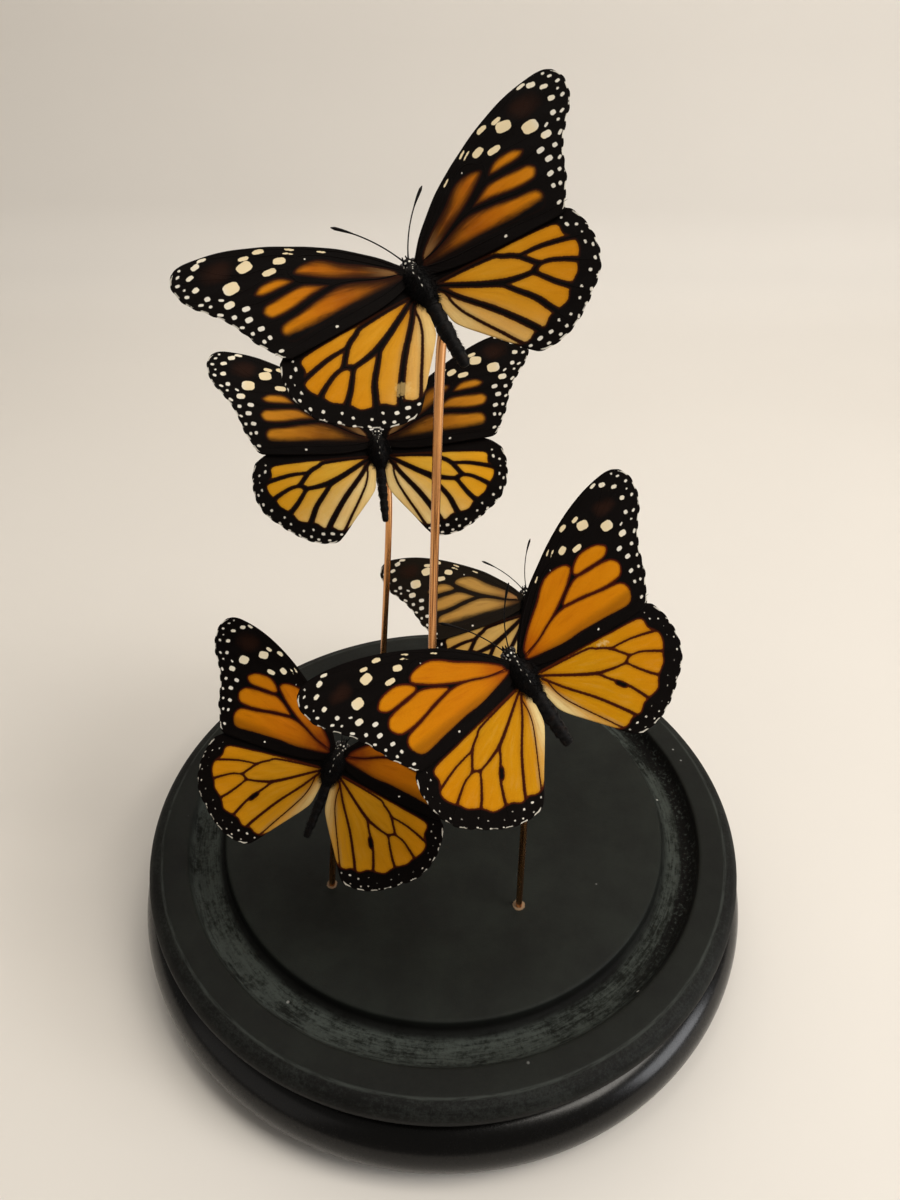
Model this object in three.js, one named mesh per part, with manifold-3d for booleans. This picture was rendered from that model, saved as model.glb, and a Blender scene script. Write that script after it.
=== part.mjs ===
// Display of five dried monarch butterflies on wire stems, standing on a turned wooden base.
// Millimetres, +Z up, origin at the centre of the base's underside, front of the display towards -Y.

import * as THREE from "three";
import { mergeVertices } from "three/addons/utils/BufferGeometryUtils.js";
import Module from "manifold-3d";

const wasm = await Module();
wasm.setup();

// ---------------------------------------------------------------- driving dimensions

const BASE_HEIGHT = 34;
const BASE_SEGMENTS = 60;
const PLATEAU_RADIUS = 74.7;
const GROOVE_FLOOR_IN = 77;
const GROOVE_FLOOR_OUT = 84;
const GROOVE_RADIUS = 87.1;
const GROOVE_DEPTH = 5;
const GROOVE_WALL = 3.2;
const RIM_FLAT_RADIUS = 95.1;
const LIP_RADIUS = 99.8;
const NECK_RADIUS = 94.5;
const ROLL_CENTRE_RADIUS = 94;
const ROLL_CENTRE_BELOW_TOP = 23.6;
const ROLL_RADIUS = 10;
const FOOT_RADIUS = 92;

const HOLE_DEPTH = 12;
const STEM_DEPTH = 11.4;
const HOLE_CLEARANCE = 0.35;
const STEM_SIDES = 8;

const WING_THICKNESS = 0.4;
const FOREWING_LIFT = 0.35;
const HINDWING_DROP = 0.65;
const FOREWING_HINGE = [2.3, 1.8, 0.75];
const HINDWING_HINGE = [1.9, -2.6, 0.75];
const OUTLINE_STEPS = 36;

const BODY_SEGMENTS = 10;
const ABDOMEN_DROOP = 1.3;
const ANTENNA_SEGMENTS = 5;
const ANTENNA_LENGTH = 17.5;
const ANTENNA_ROOT = [0.8, 6.05, 0.4];
const ANTENNA_BOW = 1.1;

// Right forewing outline from the front of the root, round the tip, to the back of the root.
// x runs out from the hinge and y forwards, in the plane of the wing.
const FOREWING_OUTLINE = [
  [-0.4, 3], [2, 6], [5, 9], [10, 13.4], [15, 16.7], [20, 19.5], [25, 21.9], [30, 23.8],
  [35, 25.1], [40, 25.7], [43, 25.2], [45, 23.5], [45.7, 21], [45.2, 17.5], [43.5, 14.2],
  [41, 11], [38.7, 7.5], [37, 3.8], [35.7, 0.2], [34.2, -2.8], [32.5, -5.3], [30.5, -6.6],
  [25, -6.4], [16, -5.8], [8, -4.8], [3, -3.6], [-0.4, -2.2],
];

// Right hindwing outline, from the front of the root round the wing to the back of the root.
const HINDWING_OUTLINE = [
  [0.6, 1.2], [3.4, 3], [8, 4.4], [16, 5], [24, 4.6], [30, 3.4], [33.6, 1.2], [35, -1.6],
  [35.6, -5], [35.7, -8.5], [34.8, -12], [33, -15.5], [30.4, -18.4], [27.4, -21.2],
  [24.2, -23.5], [20.8, -25], [17.6, -25.5], [15.2, -24.8], [12.6, -22.3], [9.6, -19.1],
  [6.4, -15.9], [4, -13.1], [2.6, -10.6], [2, -7.5], [1.3, -4], [0.6, -1.2],
];

// Body profile: half width at a station along the body, from the tip of the abdomen to the face.
const BODY_PROFILE = [
  [0, -22.6], [0.75, -21.8], [1.2, -19.2], [1.5, -15], [1.6, -11], [1.5, -7.6], [1.25, -5.7],
  [2.05, -4], [2.35, -1.4], [2.25, 1], [1.7, 2.8], [0.95, 3.7], [1.35, 4.5], [1.3, 5.4],
  [0.7, 6.2], [0, 6.4],
];

// Antenna profile: half width at a distance from the root. It ends in a club.
const ANTENNA_PROFILE = [
  [0, 0], [0.22, 0.05], [0.18, 6], [0.18, 12], [0.4, 15], [0.42, 16.6], [0, ANTENNA_LENGTH],
];

// Each butterfly's place is its thorax above the plateau. heading turns it to the left, climb lifts
// its head and bank lowers its right side. dihedral lifts a wing tip, twist lifts a wing's front
// edge, and fore and hind swing the wings forwards. Angles in degrees, left side first.
const BUTTERFLIES = [
  {
    name: "top", at: [-6.9, -4.3, 185.1], heading: 32.5, climb: 31, bank: -28.5, size: 1,
    dihedral: [11, 6.6], twist: [0, 1.7], fore: [-2.6, -2.1], hind: [-8, -7.5],
    antennae: [[40, 18], [38, 4]],
    stem: { radius: 1.3, foot: [-5.8, -9], knee: [-1.9, -9.9, 165], tip: [-0.5, -10.7, 175.5] },
  },
  {
    name: "upper_left", at: [-19.6, 26.2, 128], heading: 8.5, climb: 35, bank: -1.5, size: 0.98,
    dihedral: [12.2, 14.7], twist: [-1, -0.9], fore: [1.9, 1.7], hind: [-8.4, -10.1],
    antennae: [[33, 12], [33, 12]],
    stem: { radius: 1, foot: [-24.1, 25], knee: [-17, 22.8, 110], tip: [-18.7, 23.6, 121.7] },
  },
  {
    name: "back_right", at: [27.5, 31.1, 68], heading: 21.5, climb: 37, bank: -25.5, size: 0.945,
    dihedral: [9.6, 10.8], twist: [-0.3, 0.2], fore: [2.6, 1.9], hind: [-1.1, -2.2],
    antennae: [[38, 16], [25, 18]],
    stem: { radius: 1, foot: [29.5, 29], knee: [29.6, 29.2, 50], tip: [29.7, 29.3, 62.2] },
  },
  {
    name: "front_right", at: [18.2, -40.2, 103], heading: 53, climb: 44, bank: -31.5, size: 1.01,
    dihedral: [7.4, 6.8], twist: [-1.5, -1], fore: [0.5, 0.3], hind: [-6.3, -6.8],
    antennae: [[31, -8], [29, 24]],
    stem: { radius: 1, foot: [23.9, -36.7], knee: [22, -39.6, 80], tip: [22.2, -40.1, 94.9] },
  },
  {
    name: "front_left", at: [-31.2, -27.1, 55.4], heading: -26.5, climb: 36, bank: 12.5, size: 1.005,
    dihedral: [1.7, 3.9], twist: [0.2, 2], fore: [0.6, 0.7], hind: [-8.8, -6.9],
    antennae: [[32, 12], [32, 12]],
    stem: { radius: 1, foot: [-35.9, -29.5], knee: [-32.6, -27.9, 38], tip: [-31.9, -27.2, 50.35] },
  },
];

const PAINTED_WOOD = { color: 0x2a2c2a, roughness: 0.6, metalness: 0 };
const COPPER = { color: 0xc07a52, roughness: 0.28, metalness: 1 };
const BODY_BLACK = { color: 0x1a1614, roughness: 0.8, metalness: 0 };
const FOREWING_ORANGE = { color: 0xb8620f, roughness: 0.65, metalness: 0 };
const HINDWING_AMBER = { color: 0xc27a18, roughness: 0.65, metalness: 0 };

// ---------------------------------------------------------------- helpers

const radians = THREE.MathUtils.degToRad;

// Leaves only positions, merged, and drops the triangles that have collapsed onto an axis.
function cleaned(geometry) {
  const bare = geometry.index ? geometry.clone() : geometry;
  bare.deleteAttribute("normal");
  bare.deleteAttribute("uv");
  const merged = mergeVertices(bare, 1e-4);
  const source = merged.index.array;
  const kept = [];
  for (let i = 0; i < source.length; i += 3) {
    const [a, b, c] = [source[i], source[i + 1], source[i + 2]];
    if (a !== b && b !== c && c !== a) kept.push(a, b, c);
  }
  merged.setIndex(kept);
  return merged;
}

function toManifold(geometry) {
  const clean = cleaned(geometry);
  return new wasm.Manifold(new wasm.Mesh({
    numProp: 3,
    vertProperties: new Float32Array(clean.attributes.position.array),
    triVerts: new Uint32Array(clean.index.array),
  }));
}

function fromManifold(solid) {
  const mesh = solid.getMesh();
  const geometry = new THREE.BufferGeometry();
  geometry.setAttribute("position", new THREE.BufferAttribute(mesh.vertProperties, 3));
  geometry.setIndex(new THREE.BufferAttribute(mesh.triVerts, 1));
  return geometry;
}

function namedMesh(name, geometry, look) {
  const mesh = new THREE.Mesh(geometry, new THREE.MeshStandardMaterial({ ...look }));
  mesh.name = name;
  return mesh;
}

function turned(profile, segments) {
  const points = profile.map(([radius, along]) => new THREE.Vector2(radius, along));
  return cleaned(new THREE.LatheGeometry(points, segments));
}

// ---------------------------------------------------------------- base

// Half section of the base from the underside's centre, up the outside, to the plateau's centre.
function baseProfile() {
  const top = BASE_HEIGHT;
  const rollZ = top - ROLL_CENTRE_BELOW_TOP;
  const roll = [-80, -60, -40, -20, 0, 20, 40, 60, 80].map((angle) => [
    ROLL_CENTRE_RADIUS + ROLL_RADIUS * Math.cos(radians(angle)),
    rollZ + ROLL_RADIUS * Math.sin(radians(angle)),
  ]);
  return [
    [0, 0], [FOOT_RADIUS, 0],
    ...roll,
    [NECK_RADIUS, top - 12], [NECK_RADIUS + 0.4, top - 9.5], [LIP_RADIUS - 2, top - 7.4],
    [LIP_RADIUS, top - 6], [LIP_RADIUS, top - 3.4], [LIP_RADIUS - 1.7, top - 1.1],
    [RIM_FLAT_RADIUS, top],
    [GROOVE_RADIUS, top], [GROOVE_RADIUS - 1, top - 2.6],
    [GROOVE_FLOOR_OUT, top - GROOVE_DEPTH], [GROOVE_FLOOR_IN, top - GROOVE_DEPTH],
    [PLATEAU_RADIUS + 0.3, top - GROOVE_WALL], [PLATEAU_RADIUS, top - 0.6],
    [PLATEAU_RADIUS - 0.6, top], [0, top],
  ];
}

// Unit direction of a stem where it leaves the plateau.
function stemDirection(stem) {
  const [x, y, z] = stem.knee;
  return new THREE.Vector3(x - stem.foot[0], y - stem.foot[1], z).normalize();
}

function stemHole(stem) {
  const length = HOLE_DEPTH + 4;
  const radius = stem.radius + HOLE_CLEARANCE;
  const direction = stemDirection(stem);
  const drill = new THREE.CylinderGeometry(radius, radius, length, 12);
  drill.applyQuaternion(new THREE.Quaternion().setFromUnitVectors(new THREE.Vector3(0, 1, 0), direction));
  const middle = new THREE.Vector3(stem.foot[0], stem.foot[1], BASE_HEIGHT);
  middle.addScaledVector(direction, length / 2 - HOLE_DEPTH);
  drill.translate(middle.x, middle.y, middle.z);
  return toManifold(drill);
}

function buildBase() {
  const blank = turned(baseProfile(), BASE_SEGMENTS);
  blank.rotateX(Math.PI / 2);
  let solid = toManifold(blank);
  for (const butterfly of BUTTERFLIES) solid = solid.subtract(stemHole(butterfly.stem));
  return namedMesh("base", fromManifold(solid), PAINTED_WOOD);
}

// ---------------------------------------------------------------- stems

function buildStem(butterfly) {
  const { radius, foot, knee, tip } = butterfly.stem;
  const direction = stemDirection(butterfly.stem);
  const start = new THREE.Vector3(foot[0], foot[1], BASE_HEIGHT).addScaledVector(direction, -STEM_DEPTH);
  const kneePoint = new THREE.Vector3(knee[0], knee[1], BASE_HEIGHT + knee[2]);
  const middle = start.clone().lerp(kneePoint, 0.5);
  const end = new THREE.Vector3(tip[0], tip[1], BASE_HEIGHT + tip[2]);
  const path = new THREE.CatmullRomCurve3([start, middle, kneePoint, end]);
  const section = new THREE.Shape();
  section.absarc(0, 0, radius, 0, 2 * Math.PI);
  const wire = new THREE.ExtrudeGeometry(section, {
    steps: 9, curveSegments: STEM_SIDES, bevelEnabled: false, extrudePath: path,
  });
  return namedMesh(`stem_${butterfly.name}`, wire, COPPER);
}

// ---------------------------------------------------------------- butterflies

// A thin flat plate of the wing's outline, its lower face at height bottom.
function wingPlate(outline, side, bottom) {
  const points = outline.map(([x, y]) => new THREE.Vector2(x, y));
  const edge = new THREE.SplineCurve(points).getPoints(OUTLINE_STEPS);
  const shape = new THREE.Shape(edge.map((p) => new THREE.Vector2(side * p.x, p.y)));
  const plate = new THREE.ExtrudeGeometry(shape, { depth: WING_THICKNESS, bevelEnabled: false });
  plate.translate(0, 0, bottom);
  return plate;
}

function hingedWing(name, geometry, look, hinge, side, angles) {
  const wing = namedMesh(name, geometry, look);
  wing.position.set(side * hinge[0], hinge[1], hinge[2]);
  const [dihedral, twist, swing] = angles.map(radians);
  wing.rotation.set(twist, -side * dihedral, side * swing, "YXZ");
  return wing;
}

function bodyGeometry() {
  const body = turned(BODY_PROFILE, BODY_SEGMENTS);
  const position = body.attributes.position;
  for (let i = 0; i < position.count; i += 1) {
    const behind = Math.max(0, -position.getY(i) - 4) / 18.6;
    position.setZ(i, position.getZ(i) - 0.9 - ABDOMEN_DROOP * behind);
  }
  return body;
}

// A straight clubbed rod bowed outwards a little, growing along +Y from its root.
function antennaGeometry(side) {
  const rod = turned(ANTENNA_PROFILE, ANTENNA_SEGMENTS);
  const position = rod.attributes.position;
  for (let i = 0; i < position.count; i += 1) {
    const share = position.getY(i) / ANTENNA_LENGTH;
    position.setX(i, position.getX(i) - side * ANTENNA_BOW * 4 * share * (1 - share));
  }
  return rod;
}

function buildAntenna(name, side, [outwards, upwards]) {
  const antenna = namedMesh(name, antennaGeometry(side), BODY_BLACK);
  antenna.position.set(side * ANTENNA_ROOT[0], ANTENNA_ROOT[1], ANTENNA_ROOT[2]);
  antenna.rotation.set(radians(upwards), 0, -side * radians(outwards), "ZXY");
  return antenna;
}

function buildButterfly(butterfly) {
  const group = new THREE.Group();
  const { name, at, heading, climb, bank, size } = butterfly;
  group.position.set(at[0], at[1], at[2] + BASE_HEIGHT);
  group.rotation.set(radians(climb), radians(bank), radians(heading), "ZXY");
  group.scale.setScalar(size);
  group.add(namedMesh(`body_${name}`, bodyGeometry(), BODY_BLACK));
  [["left", -1], ["right", 1]].forEach(([sideName, side], i) => {
    const fore = wingPlate(FOREWING_OUTLINE, side, FOREWING_LIFT);
    const hind = wingPlate(HINDWING_OUTLINE, side, -HINDWING_DROP);
    const plane = [butterfly.dihedral[i], butterfly.twist[i]];
    group.add(hingedWing(`forewing_${sideName}_${name}`, fore, FOREWING_ORANGE, FOREWING_HINGE,
      side, [...plane, butterfly.fore[i]]));
    group.add(hingedWing(`hindwing_${sideName}_${name}`, hind, HINDWING_AMBER, HINDWING_HINGE,
      side, [...plane, butterfly.hind[i]]));
    group.add(buildAntenna(`antenna_${sideName}_${name}`, side, butterfly.antennae[i]));
  });
  return group;
}

// ---------------------------------------------------------------- assembly

const display = new THREE.Group();
display.add(buildBase());
for (const butterfly of BUTTERFLIES) {
  display.add(buildStem(butterfly));
  display.add(buildButterfly(butterfly));
}

export default display;
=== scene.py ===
"""Looks of five dried monarch butterflies on copper stems over a black turned base.

Sizes in the classes are millimetres and angles are degrees. Meshes are made in metres, in the
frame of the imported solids: +Z up, -Y to the front, origin under the middle of the base.
"""

from __future__ import annotations

import logging
import math
from collections.abc import Callable
from dataclasses import dataclass, field
from enum import Enum

import bpy
import numpy as np
from mathutils import Matrix, Vector

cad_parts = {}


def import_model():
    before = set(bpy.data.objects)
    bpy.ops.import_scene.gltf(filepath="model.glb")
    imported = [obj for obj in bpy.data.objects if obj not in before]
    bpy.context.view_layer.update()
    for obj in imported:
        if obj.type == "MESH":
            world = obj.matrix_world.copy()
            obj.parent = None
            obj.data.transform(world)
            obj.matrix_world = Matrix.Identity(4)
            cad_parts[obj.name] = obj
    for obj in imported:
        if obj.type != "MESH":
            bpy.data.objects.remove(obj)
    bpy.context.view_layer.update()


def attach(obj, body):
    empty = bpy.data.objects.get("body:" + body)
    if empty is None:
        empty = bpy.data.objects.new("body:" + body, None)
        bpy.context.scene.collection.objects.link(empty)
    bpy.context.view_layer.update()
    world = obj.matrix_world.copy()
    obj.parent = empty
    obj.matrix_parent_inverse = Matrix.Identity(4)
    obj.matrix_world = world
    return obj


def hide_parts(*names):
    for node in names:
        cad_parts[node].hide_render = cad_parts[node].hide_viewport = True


MM = 0.001
BASE_HEIGHT = 34.0
FAR = 5.0  # a distance that every finish takes as well clear of its marks
LOG = logging.getLogger("butterfly_display")

Point = tuple[float, float]
Place = tuple[float, float, float]
Colour = tuple[float, float, float]
Spot = tuple[float, float, float, float, float]  # centre x, centre y, length, width, slant
Placer = Callable[[np.ndarray], np.ndarray]
Material = bpy.types.Material
Socket = bpy.types.NodeSocket
Tint = Colour | Socket


# ---------------------------------------------------------------- numbers and curves


def turn(axis: str, degrees: float) -> np.ndarray:
    """Rotation about one axis by the right-hand rule.

    Args:
        axis: x, y or z.
        degrees: Angle.

    Returns:
        A 3 by 3 matrix.
    """
    c, s = math.cos(math.radians(degrees)), math.sin(math.radians(degrees))
    i, j = {"x": (1, 2), "y": (2, 0), "z": (0, 1)}[axis]
    matrix = np.eye(3)
    matrix[i, i] = matrix[j, j] = c
    matrix[i, j], matrix[j, i] = -s, s
    return matrix


def unit(vectors: np.ndarray) -> np.ndarray:
    """Each row scaled to length 1."""
    return vectors / np.linalg.norm(vectors, axis=-1, keepdims=True)


def smooth_step(low: float, high: float, values: np.ndarray) -> np.ndarray:
    """Rises from 0 at low to 1 at high as 3t^2 - 2t^3."""
    t = np.clip((values - low) / (high - low), 0, 1)
    return t * t * (3 - 2 * t)


def smooth_line(points: list, shares: np.ndarray, closed: bool = False) -> np.ndarray:
    """Catmull-Rom curve through the points: each span is the cubic whose end slopes are half the
    step between the neighbours on either side.

    Args:
        points: The points that it passes through, in 2-D or 3-D.
        shares: Where to sample it, as shares of its length from 0 to 1.
        closed: Whether it returns to its first point.

    Returns:
        One row for each share.
    """
    p = np.asarray(points, float)
    spans = len(p) if closed else len(p) - 1
    ends = (p[-1:], p[:2]) if closed else (2 * p[:1] - p[1:2], 2 * p[-1:] - p[-2:-1])
    ring = np.vstack([ends[0], p, ends[1]])
    t = np.linspace(0, spans, spans * 16 + 1)
    k = np.minimum(t.astype(int), spans - 1)
    f = (t - k)[:, None]
    a, b, c, d = ring[k], ring[k + 1], ring[k + 2], ring[k + 3]
    cubic = (3 * b - a - 3 * c + d) * f**3
    curve = 0.5 * (2 * b + (c - a) * f + (2 * a - 5 * b + 4 * c - d) * f**2 + cubic)
    steps = np.linalg.norm(np.diff(curve, axis=0), axis=1)
    walked = np.concatenate([[0], np.cumsum(steps)])
    at = np.asarray(shares) * walked[-1]
    return np.stack([np.interp(at, walked, column) for column in curve.T], axis=1)


def rounded_profile(corners: list[tuple[float, float, float]], steps: int = 5) -> np.ndarray:
    """A line whose corners are rounded: each corner becomes a quadratic Bezier arc that starts
    and ends at its radius from the corner, or at half a side where that is less.

    Args:
        corners: Rows of two places and a radius. The first and last corners stay sharp.
        steps: Points on each arc.

    Returns:
        Points along the line.
    """
    rows = np.asarray(corners, float)
    p, reach = rows[1:-1, :2], rows[1:-1, 2:]
    back, ahead = rows[:-2, :2] - p, rows[2:, :2] - p
    back_length = np.linalg.norm(back, axis=1, keepdims=True)
    ahead_length = np.linalg.norm(ahead, axis=1, keepdims=True)
    start = p + back * np.minimum(reach / back_length, 0.49)
    end = p + ahead * np.minimum(reach / ahead_length, 0.49)
    t = np.linspace(0, 1, steps)[None, :, None]
    arcs = (1 - t) ** 2 * start[:, None] + 2 * t * (1 - t) * p[:, None] + t**2 * end[:, None]
    return np.vstack([rows[:1, :2], arcs.reshape(-1, 2), rows[-1:, :2]])


def distance_to_line(points: np.ndarray, line: np.ndarray, half_widths: np.ndarray) -> np.ndarray:
    """Distance from each point to the edge of a line of changing width, negative on the line.

    Args:
        points: Rows of x, y.
        line: The line's corners.
        half_widths: Half the line's width at each corner.

    Returns:
        The least over the line's segments of the distance less the half width there.
    """
    start, step = line[:-1], np.diff(line, axis=0)
    offset = points[:, None] - start
    share = np.clip((offset * step).sum(-1) / np.maximum((step**2).sum(-1), 1e-9), 0, 1)
    gap = np.linalg.norm(offset - share[..., None] * step, axis=-1)
    return (gap - half_widths[:-1] - share * np.diff(half_widths)).min(axis=1)


def distance_to_shape(points: np.ndarray, outline: list[Point], samples: int = 60) -> np.ndarray:
    """Distance from each point to a smooth closed outline, negative inside it. A point is inside
    when a ray from it along +x crosses the outline an odd number of times.

    Args:
        points: Rows of x, y.
        outline: The points that the outline passes through.
        samples: Points on the sampled outline.

    Returns:
        One distance for each point.
    """
    ring = smooth_line(outline, np.linspace(0, 1, samples), closed=True)
    gap = distance_to_line(points, ring, np.zeros(len(ring)))
    low, high = ring[:-1], ring[1:]
    spans = (low[:, 1] > points[:, 1:]) != (high[:, 1] > points[:, 1:])
    rise = np.where(high[:, 1] == low[:, 1], 1e-9, high[:, 1] - low[:, 1])
    crossing = low[:, 0] + (points[:, 1:] - low[:, 1]) * (high[:, 0] - low[:, 0]) / rise
    inside = (spans & (points[:, :1] < crossing)).sum(axis=1) % 2 == 1
    return np.where(inside, -gap, gap)


def distance_to_spots(points: np.ndarray, spots: list[Spot]) -> np.ndarray:
    """Distance from each point to the nearest spot, negative inside it. A spot is a rounded
    rectangle, n = (|x/a|^3 + |y/b|^3)^(1/3) = 1, with x, y seen from its centre along its axes.

    Args:
        points: Rows of x, y.
        spots: The spots, with slants in degrees.

    Returns:
        The least over the spots of |x, y| (1 - 1/n), which is the gap along the ray to a spot's
        centre, or FAR where there are no spots.
    """
    if not spots:
        return np.full(len(points), FAR)
    rows = np.asarray(spots, float)
    angle = np.radians(rows[:, 4])
    offset = points[:, None] - rows[:, :2]
    along = offset[..., 0] * np.cos(angle) + offset[..., 1] * np.sin(angle)
    across = offset[..., 1] * np.cos(angle) - offset[..., 0] * np.sin(angle)
    q = np.stack([along, across], axis=-1)
    radii = np.maximum(rows[:, 2:4] / 2, 0.05)
    near = np.maximum((np.abs(q / radii) ** 3).sum(axis=-1) ** (1 / 3), 1e-3)
    return (np.linalg.norm(q, axis=-1) * (1 - 1 / near)).min(axis=1)


def soft_least(values: list[np.ndarray], blend: float) -> np.ndarray:
    """The least of several distances with its corners rounded: -blend ln(sum of exp(-d/blend)).

    Args:
        values: Arrays of distances of one length.
        blend: How far the rounding reaches.

    Returns:
        The blended least at each place.
    """
    stack = np.stack(values)
    low = stack.min(axis=0)
    return low - blend * np.log(np.exp(-(stack - low) / blend).sum(axis=0))


# ---------------------------------------------------------------- meshes


@dataclass
class Patch:
    """Part of a mesh: vertices in mm, faces, marks on its vertices or faces, and, where it is
    baked, the flat place of each face's corners."""

    vertices: np.ndarray
    faces: list[list[int]]
    marks: dict[str, np.ndarray] = field(default_factory=dict)
    face_marks: dict[str, np.ndarray] = field(default_factory=dict)
    flat: np.ndarray | None = None
    material: int = 0

    def moved(self, matrix: np.ndarray, offset: np.ndarray) -> Patch:
        """The same patch with each vertex turned by matrix and shifted by offset."""
        self.vertices = self.vertices @ matrix.T + offset
        return self


def grid_faces(index: np.ndarray, flipped: bool = False) -> list[list[int]]:
    """Quads over a grid of vertex numbers, facing the side from which the first index turns
    anticlockwise into the second.

    Args:
        index: The grid.
        flipped: Whether they face the other side.

    Returns:
        Four vertex numbers for each quad.
    """
    corners = [index[:-1, :-1], index[1:, :-1], index[1:, 1:], index[:-1, 1:]]
    quads = np.stack(corners[::-1] if flipped else corners, axis=-1)
    return quads.reshape(-1, 4).tolist()


def closed_rings(rings: np.ndarray, ends: np.ndarray, flipped: bool = False) -> Patch:
    """Joins closed rings of points into a skin, with a fan of triangles from a point at each end.

    Args:
        rings: Array of rings, points round each ring, and x, y, z.
        ends: The point before the first ring and the point after the last.
        flipped: Whether the points run round the other way, so that faces still point outwards.

    Returns:
        The closed skin.
    """
    count, sides = rings.shape[:2]
    index = np.arange(count * sides).reshape(count, sides)
    faces = grid_faces(np.hstack([index, index[:, :1]]), flipped)
    first, last = count * sides, count * sides + 1
    following = np.roll(index, -1, axis=1)
    low = zip(index[0].tolist(), following[0].tolist())
    high = zip(index[-1].tolist(), following[-1].tolist())
    faces += [[first, b, a] if flipped else [first, a, b] for a, b in low]
    faces += [[last, a, b] if flipped else [last, b, a] for a, b in high]
    return Patch(np.vstack([rings.reshape(-1, 3), ends]), faces)


def tube(path: np.ndarray, radii: np.ndarray, sides: int, up: Place, flat: float = 1.0) -> Patch:
    """A closed tube along a path: path + radius (cos a * side + flat * sin a * lift), where side
    is the path's direction crossed with up, and lift is side crossed with that direction.

    Args:
        path: Points along the middle.
        radii: Radius at each point.
        sides: Faces round the tube.
        up: A direction that the path never follows.
        flat: Height of the tube over its width.

    Returns:
        The tube with both ends closed, and cos a, sin a and the share of its length as its mark.
    """
    along = unit(np.gradient(path, axis=0))
    side = unit(np.cross(along, np.asarray(up, float)))
    lift = np.cross(side, along)
    angle = np.linspace(0, 2 * np.pi, sides, endpoint=False)[None, :, None]
    ring = np.cos(angle) * side[:, None] + flat * np.sin(angle) * lift[:, None]
    patch = closed_rings(path[:, None] + radii[:, None, None] * ring, path[[0, -1]])
    count = len(path)
    spun = np.broadcast_to(np.cos(angle), (count, sides, 1)).ravel()
    tilted = np.broadcast_to(np.sin(angle), (count, sides, 1)).ravel()
    walked = np.repeat(np.linspace(0, 1, count), sides)
    drawn = np.column_stack([spun, tilted, walked])
    patch.marks["drawn"] = np.vstack([drawn, [[0, 0, 0], [0, 0, 1]]])
    return patch


def revolved(profile: np.ndarray, segments: int) -> Patch:
    """A profile of radius and height turned about Z: (r cos a, r sin a, z).

    Args:
        profile: Rows from the bottom, outwards and up. The first and last lie on the axis.
        segments: Faces round the axis.

    Returns:
        The closed skin.
    """
    angle = np.linspace(0, 2 * np.pi, segments, endpoint=False)
    inner = profile[1:-1]
    x = inner[:, :1] * np.cos(angle)
    y = inner[:, :1] * np.sin(angle)
    z = np.repeat(inner[:, 1:], segments, axis=1)
    ends = np.array([[0, 0, profile[0, 1]], [0, 0, profile[-1, 1]]])
    return closed_rings(np.stack([x, y, z], axis=-1), ends, flipped=True)


def ellipsoid(centre: Place, radii: Place, rings: int = 14, sides: int = 20) -> Patch:
    """A closed ellipsoid: centre + (rx cos b cos a, ry cos b sin a, rz sin b).

    Args:
        centre: Its middle.
        radii: Half its size along each axis.
        rings: Points from pole to pole.
        sides: Faces round it.

    Returns:
        The ellipsoid.
    """
    b = np.linspace(-np.pi / 2, np.pi / 2, rings)
    ball = revolved(np.stack([np.cos(b), np.sin(b)], axis=1), sides)
    return ball.moved(np.diag(radii), np.asarray(centre, float))


def store_marks(mesh: bpy.types.Mesh, patches: list[Patch]) -> None:
    """Writes the patches' marks to their joined mesh, as attributes of the same names.

    Args:
        mesh: The mesh.
        patches: Its parts. A mark that only some of them have is FAR on the others' vertices
            and 0 on the others' faces.
    """
    for mark in sorted({key for p in patches for key in p.marks}):
        wide = max(p.marks[mark].ndim for p in patches if mark in p.marks) == 2
        layer = mesh.attributes.new(mark, "FLOAT_VECTOR" if wide else "FLOAT", "POINT")
        shapes = [(len(p.vertices), 3) if wide else len(p.vertices) for p in patches]
        rows = [p.marks.get(mark, np.full(shape, FAR)) for p, shape in zip(patches, shapes)]
        values = np.concatenate(rows).astype(np.float32).ravel()
        layer.data.foreach_set("vector" if wide else "value", values)
    for mark in sorted({key for p in patches for key in p.face_marks}):
        layer = mesh.attributes.new(mark, "FLOAT", "FACE")
        rows = [p.face_marks.get(mark, np.zeros(len(p.faces))) for p in patches]
        layer.data.foreach_set("value", np.concatenate(rows).astype(np.float32))


def make_piece(name: str, patches: list[Patch], materials: list[Material]) -> bpy.types.Object:
    """Joins patches into one mesh object at the origin, smooth shaded, in metres.

    Args:
        name: The piece's name.
        patches: Its parts. Where all of them are laid flat, the mesh gets a map for baking.
        materials: Its material slots, which each patch names by number.

    Returns:
        The new object.
    """
    counts = [len(p.vertices) for p in patches]
    starts = np.concatenate([[0], np.cumsum(counts)[:-1]])
    faces = [[v + s for v in f] for p, s in zip(patches, starts.tolist()) for f in p.faces]
    mesh = bpy.data.meshes.new(name)
    mesh.from_pydata((np.vstack([p.vertices for p in patches]) * MM).tolist(), [], faces)
    slots = np.concatenate([np.full(len(p.faces), p.material, np.int32) for p in patches])
    mesh.polygons.foreach_set("material_index", slots)
    mesh.polygons.foreach_set("use_smooth", np.ones(len(faces), bool))
    store_marks(mesh, patches)
    if all(p.flat is not None for p in patches):
        corners = np.vstack([p.flat for p in patches]).astype(np.float32)
        mesh.uv_layers.new(name="OFBake").data.foreach_set("uv", corners.ravel())
    for material in materials:
        mesh.materials.append(material)
    piece = bpy.data.objects.new(name, mesh)
    bpy.context.scene.collection.objects.link(piece)
    return piece


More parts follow.
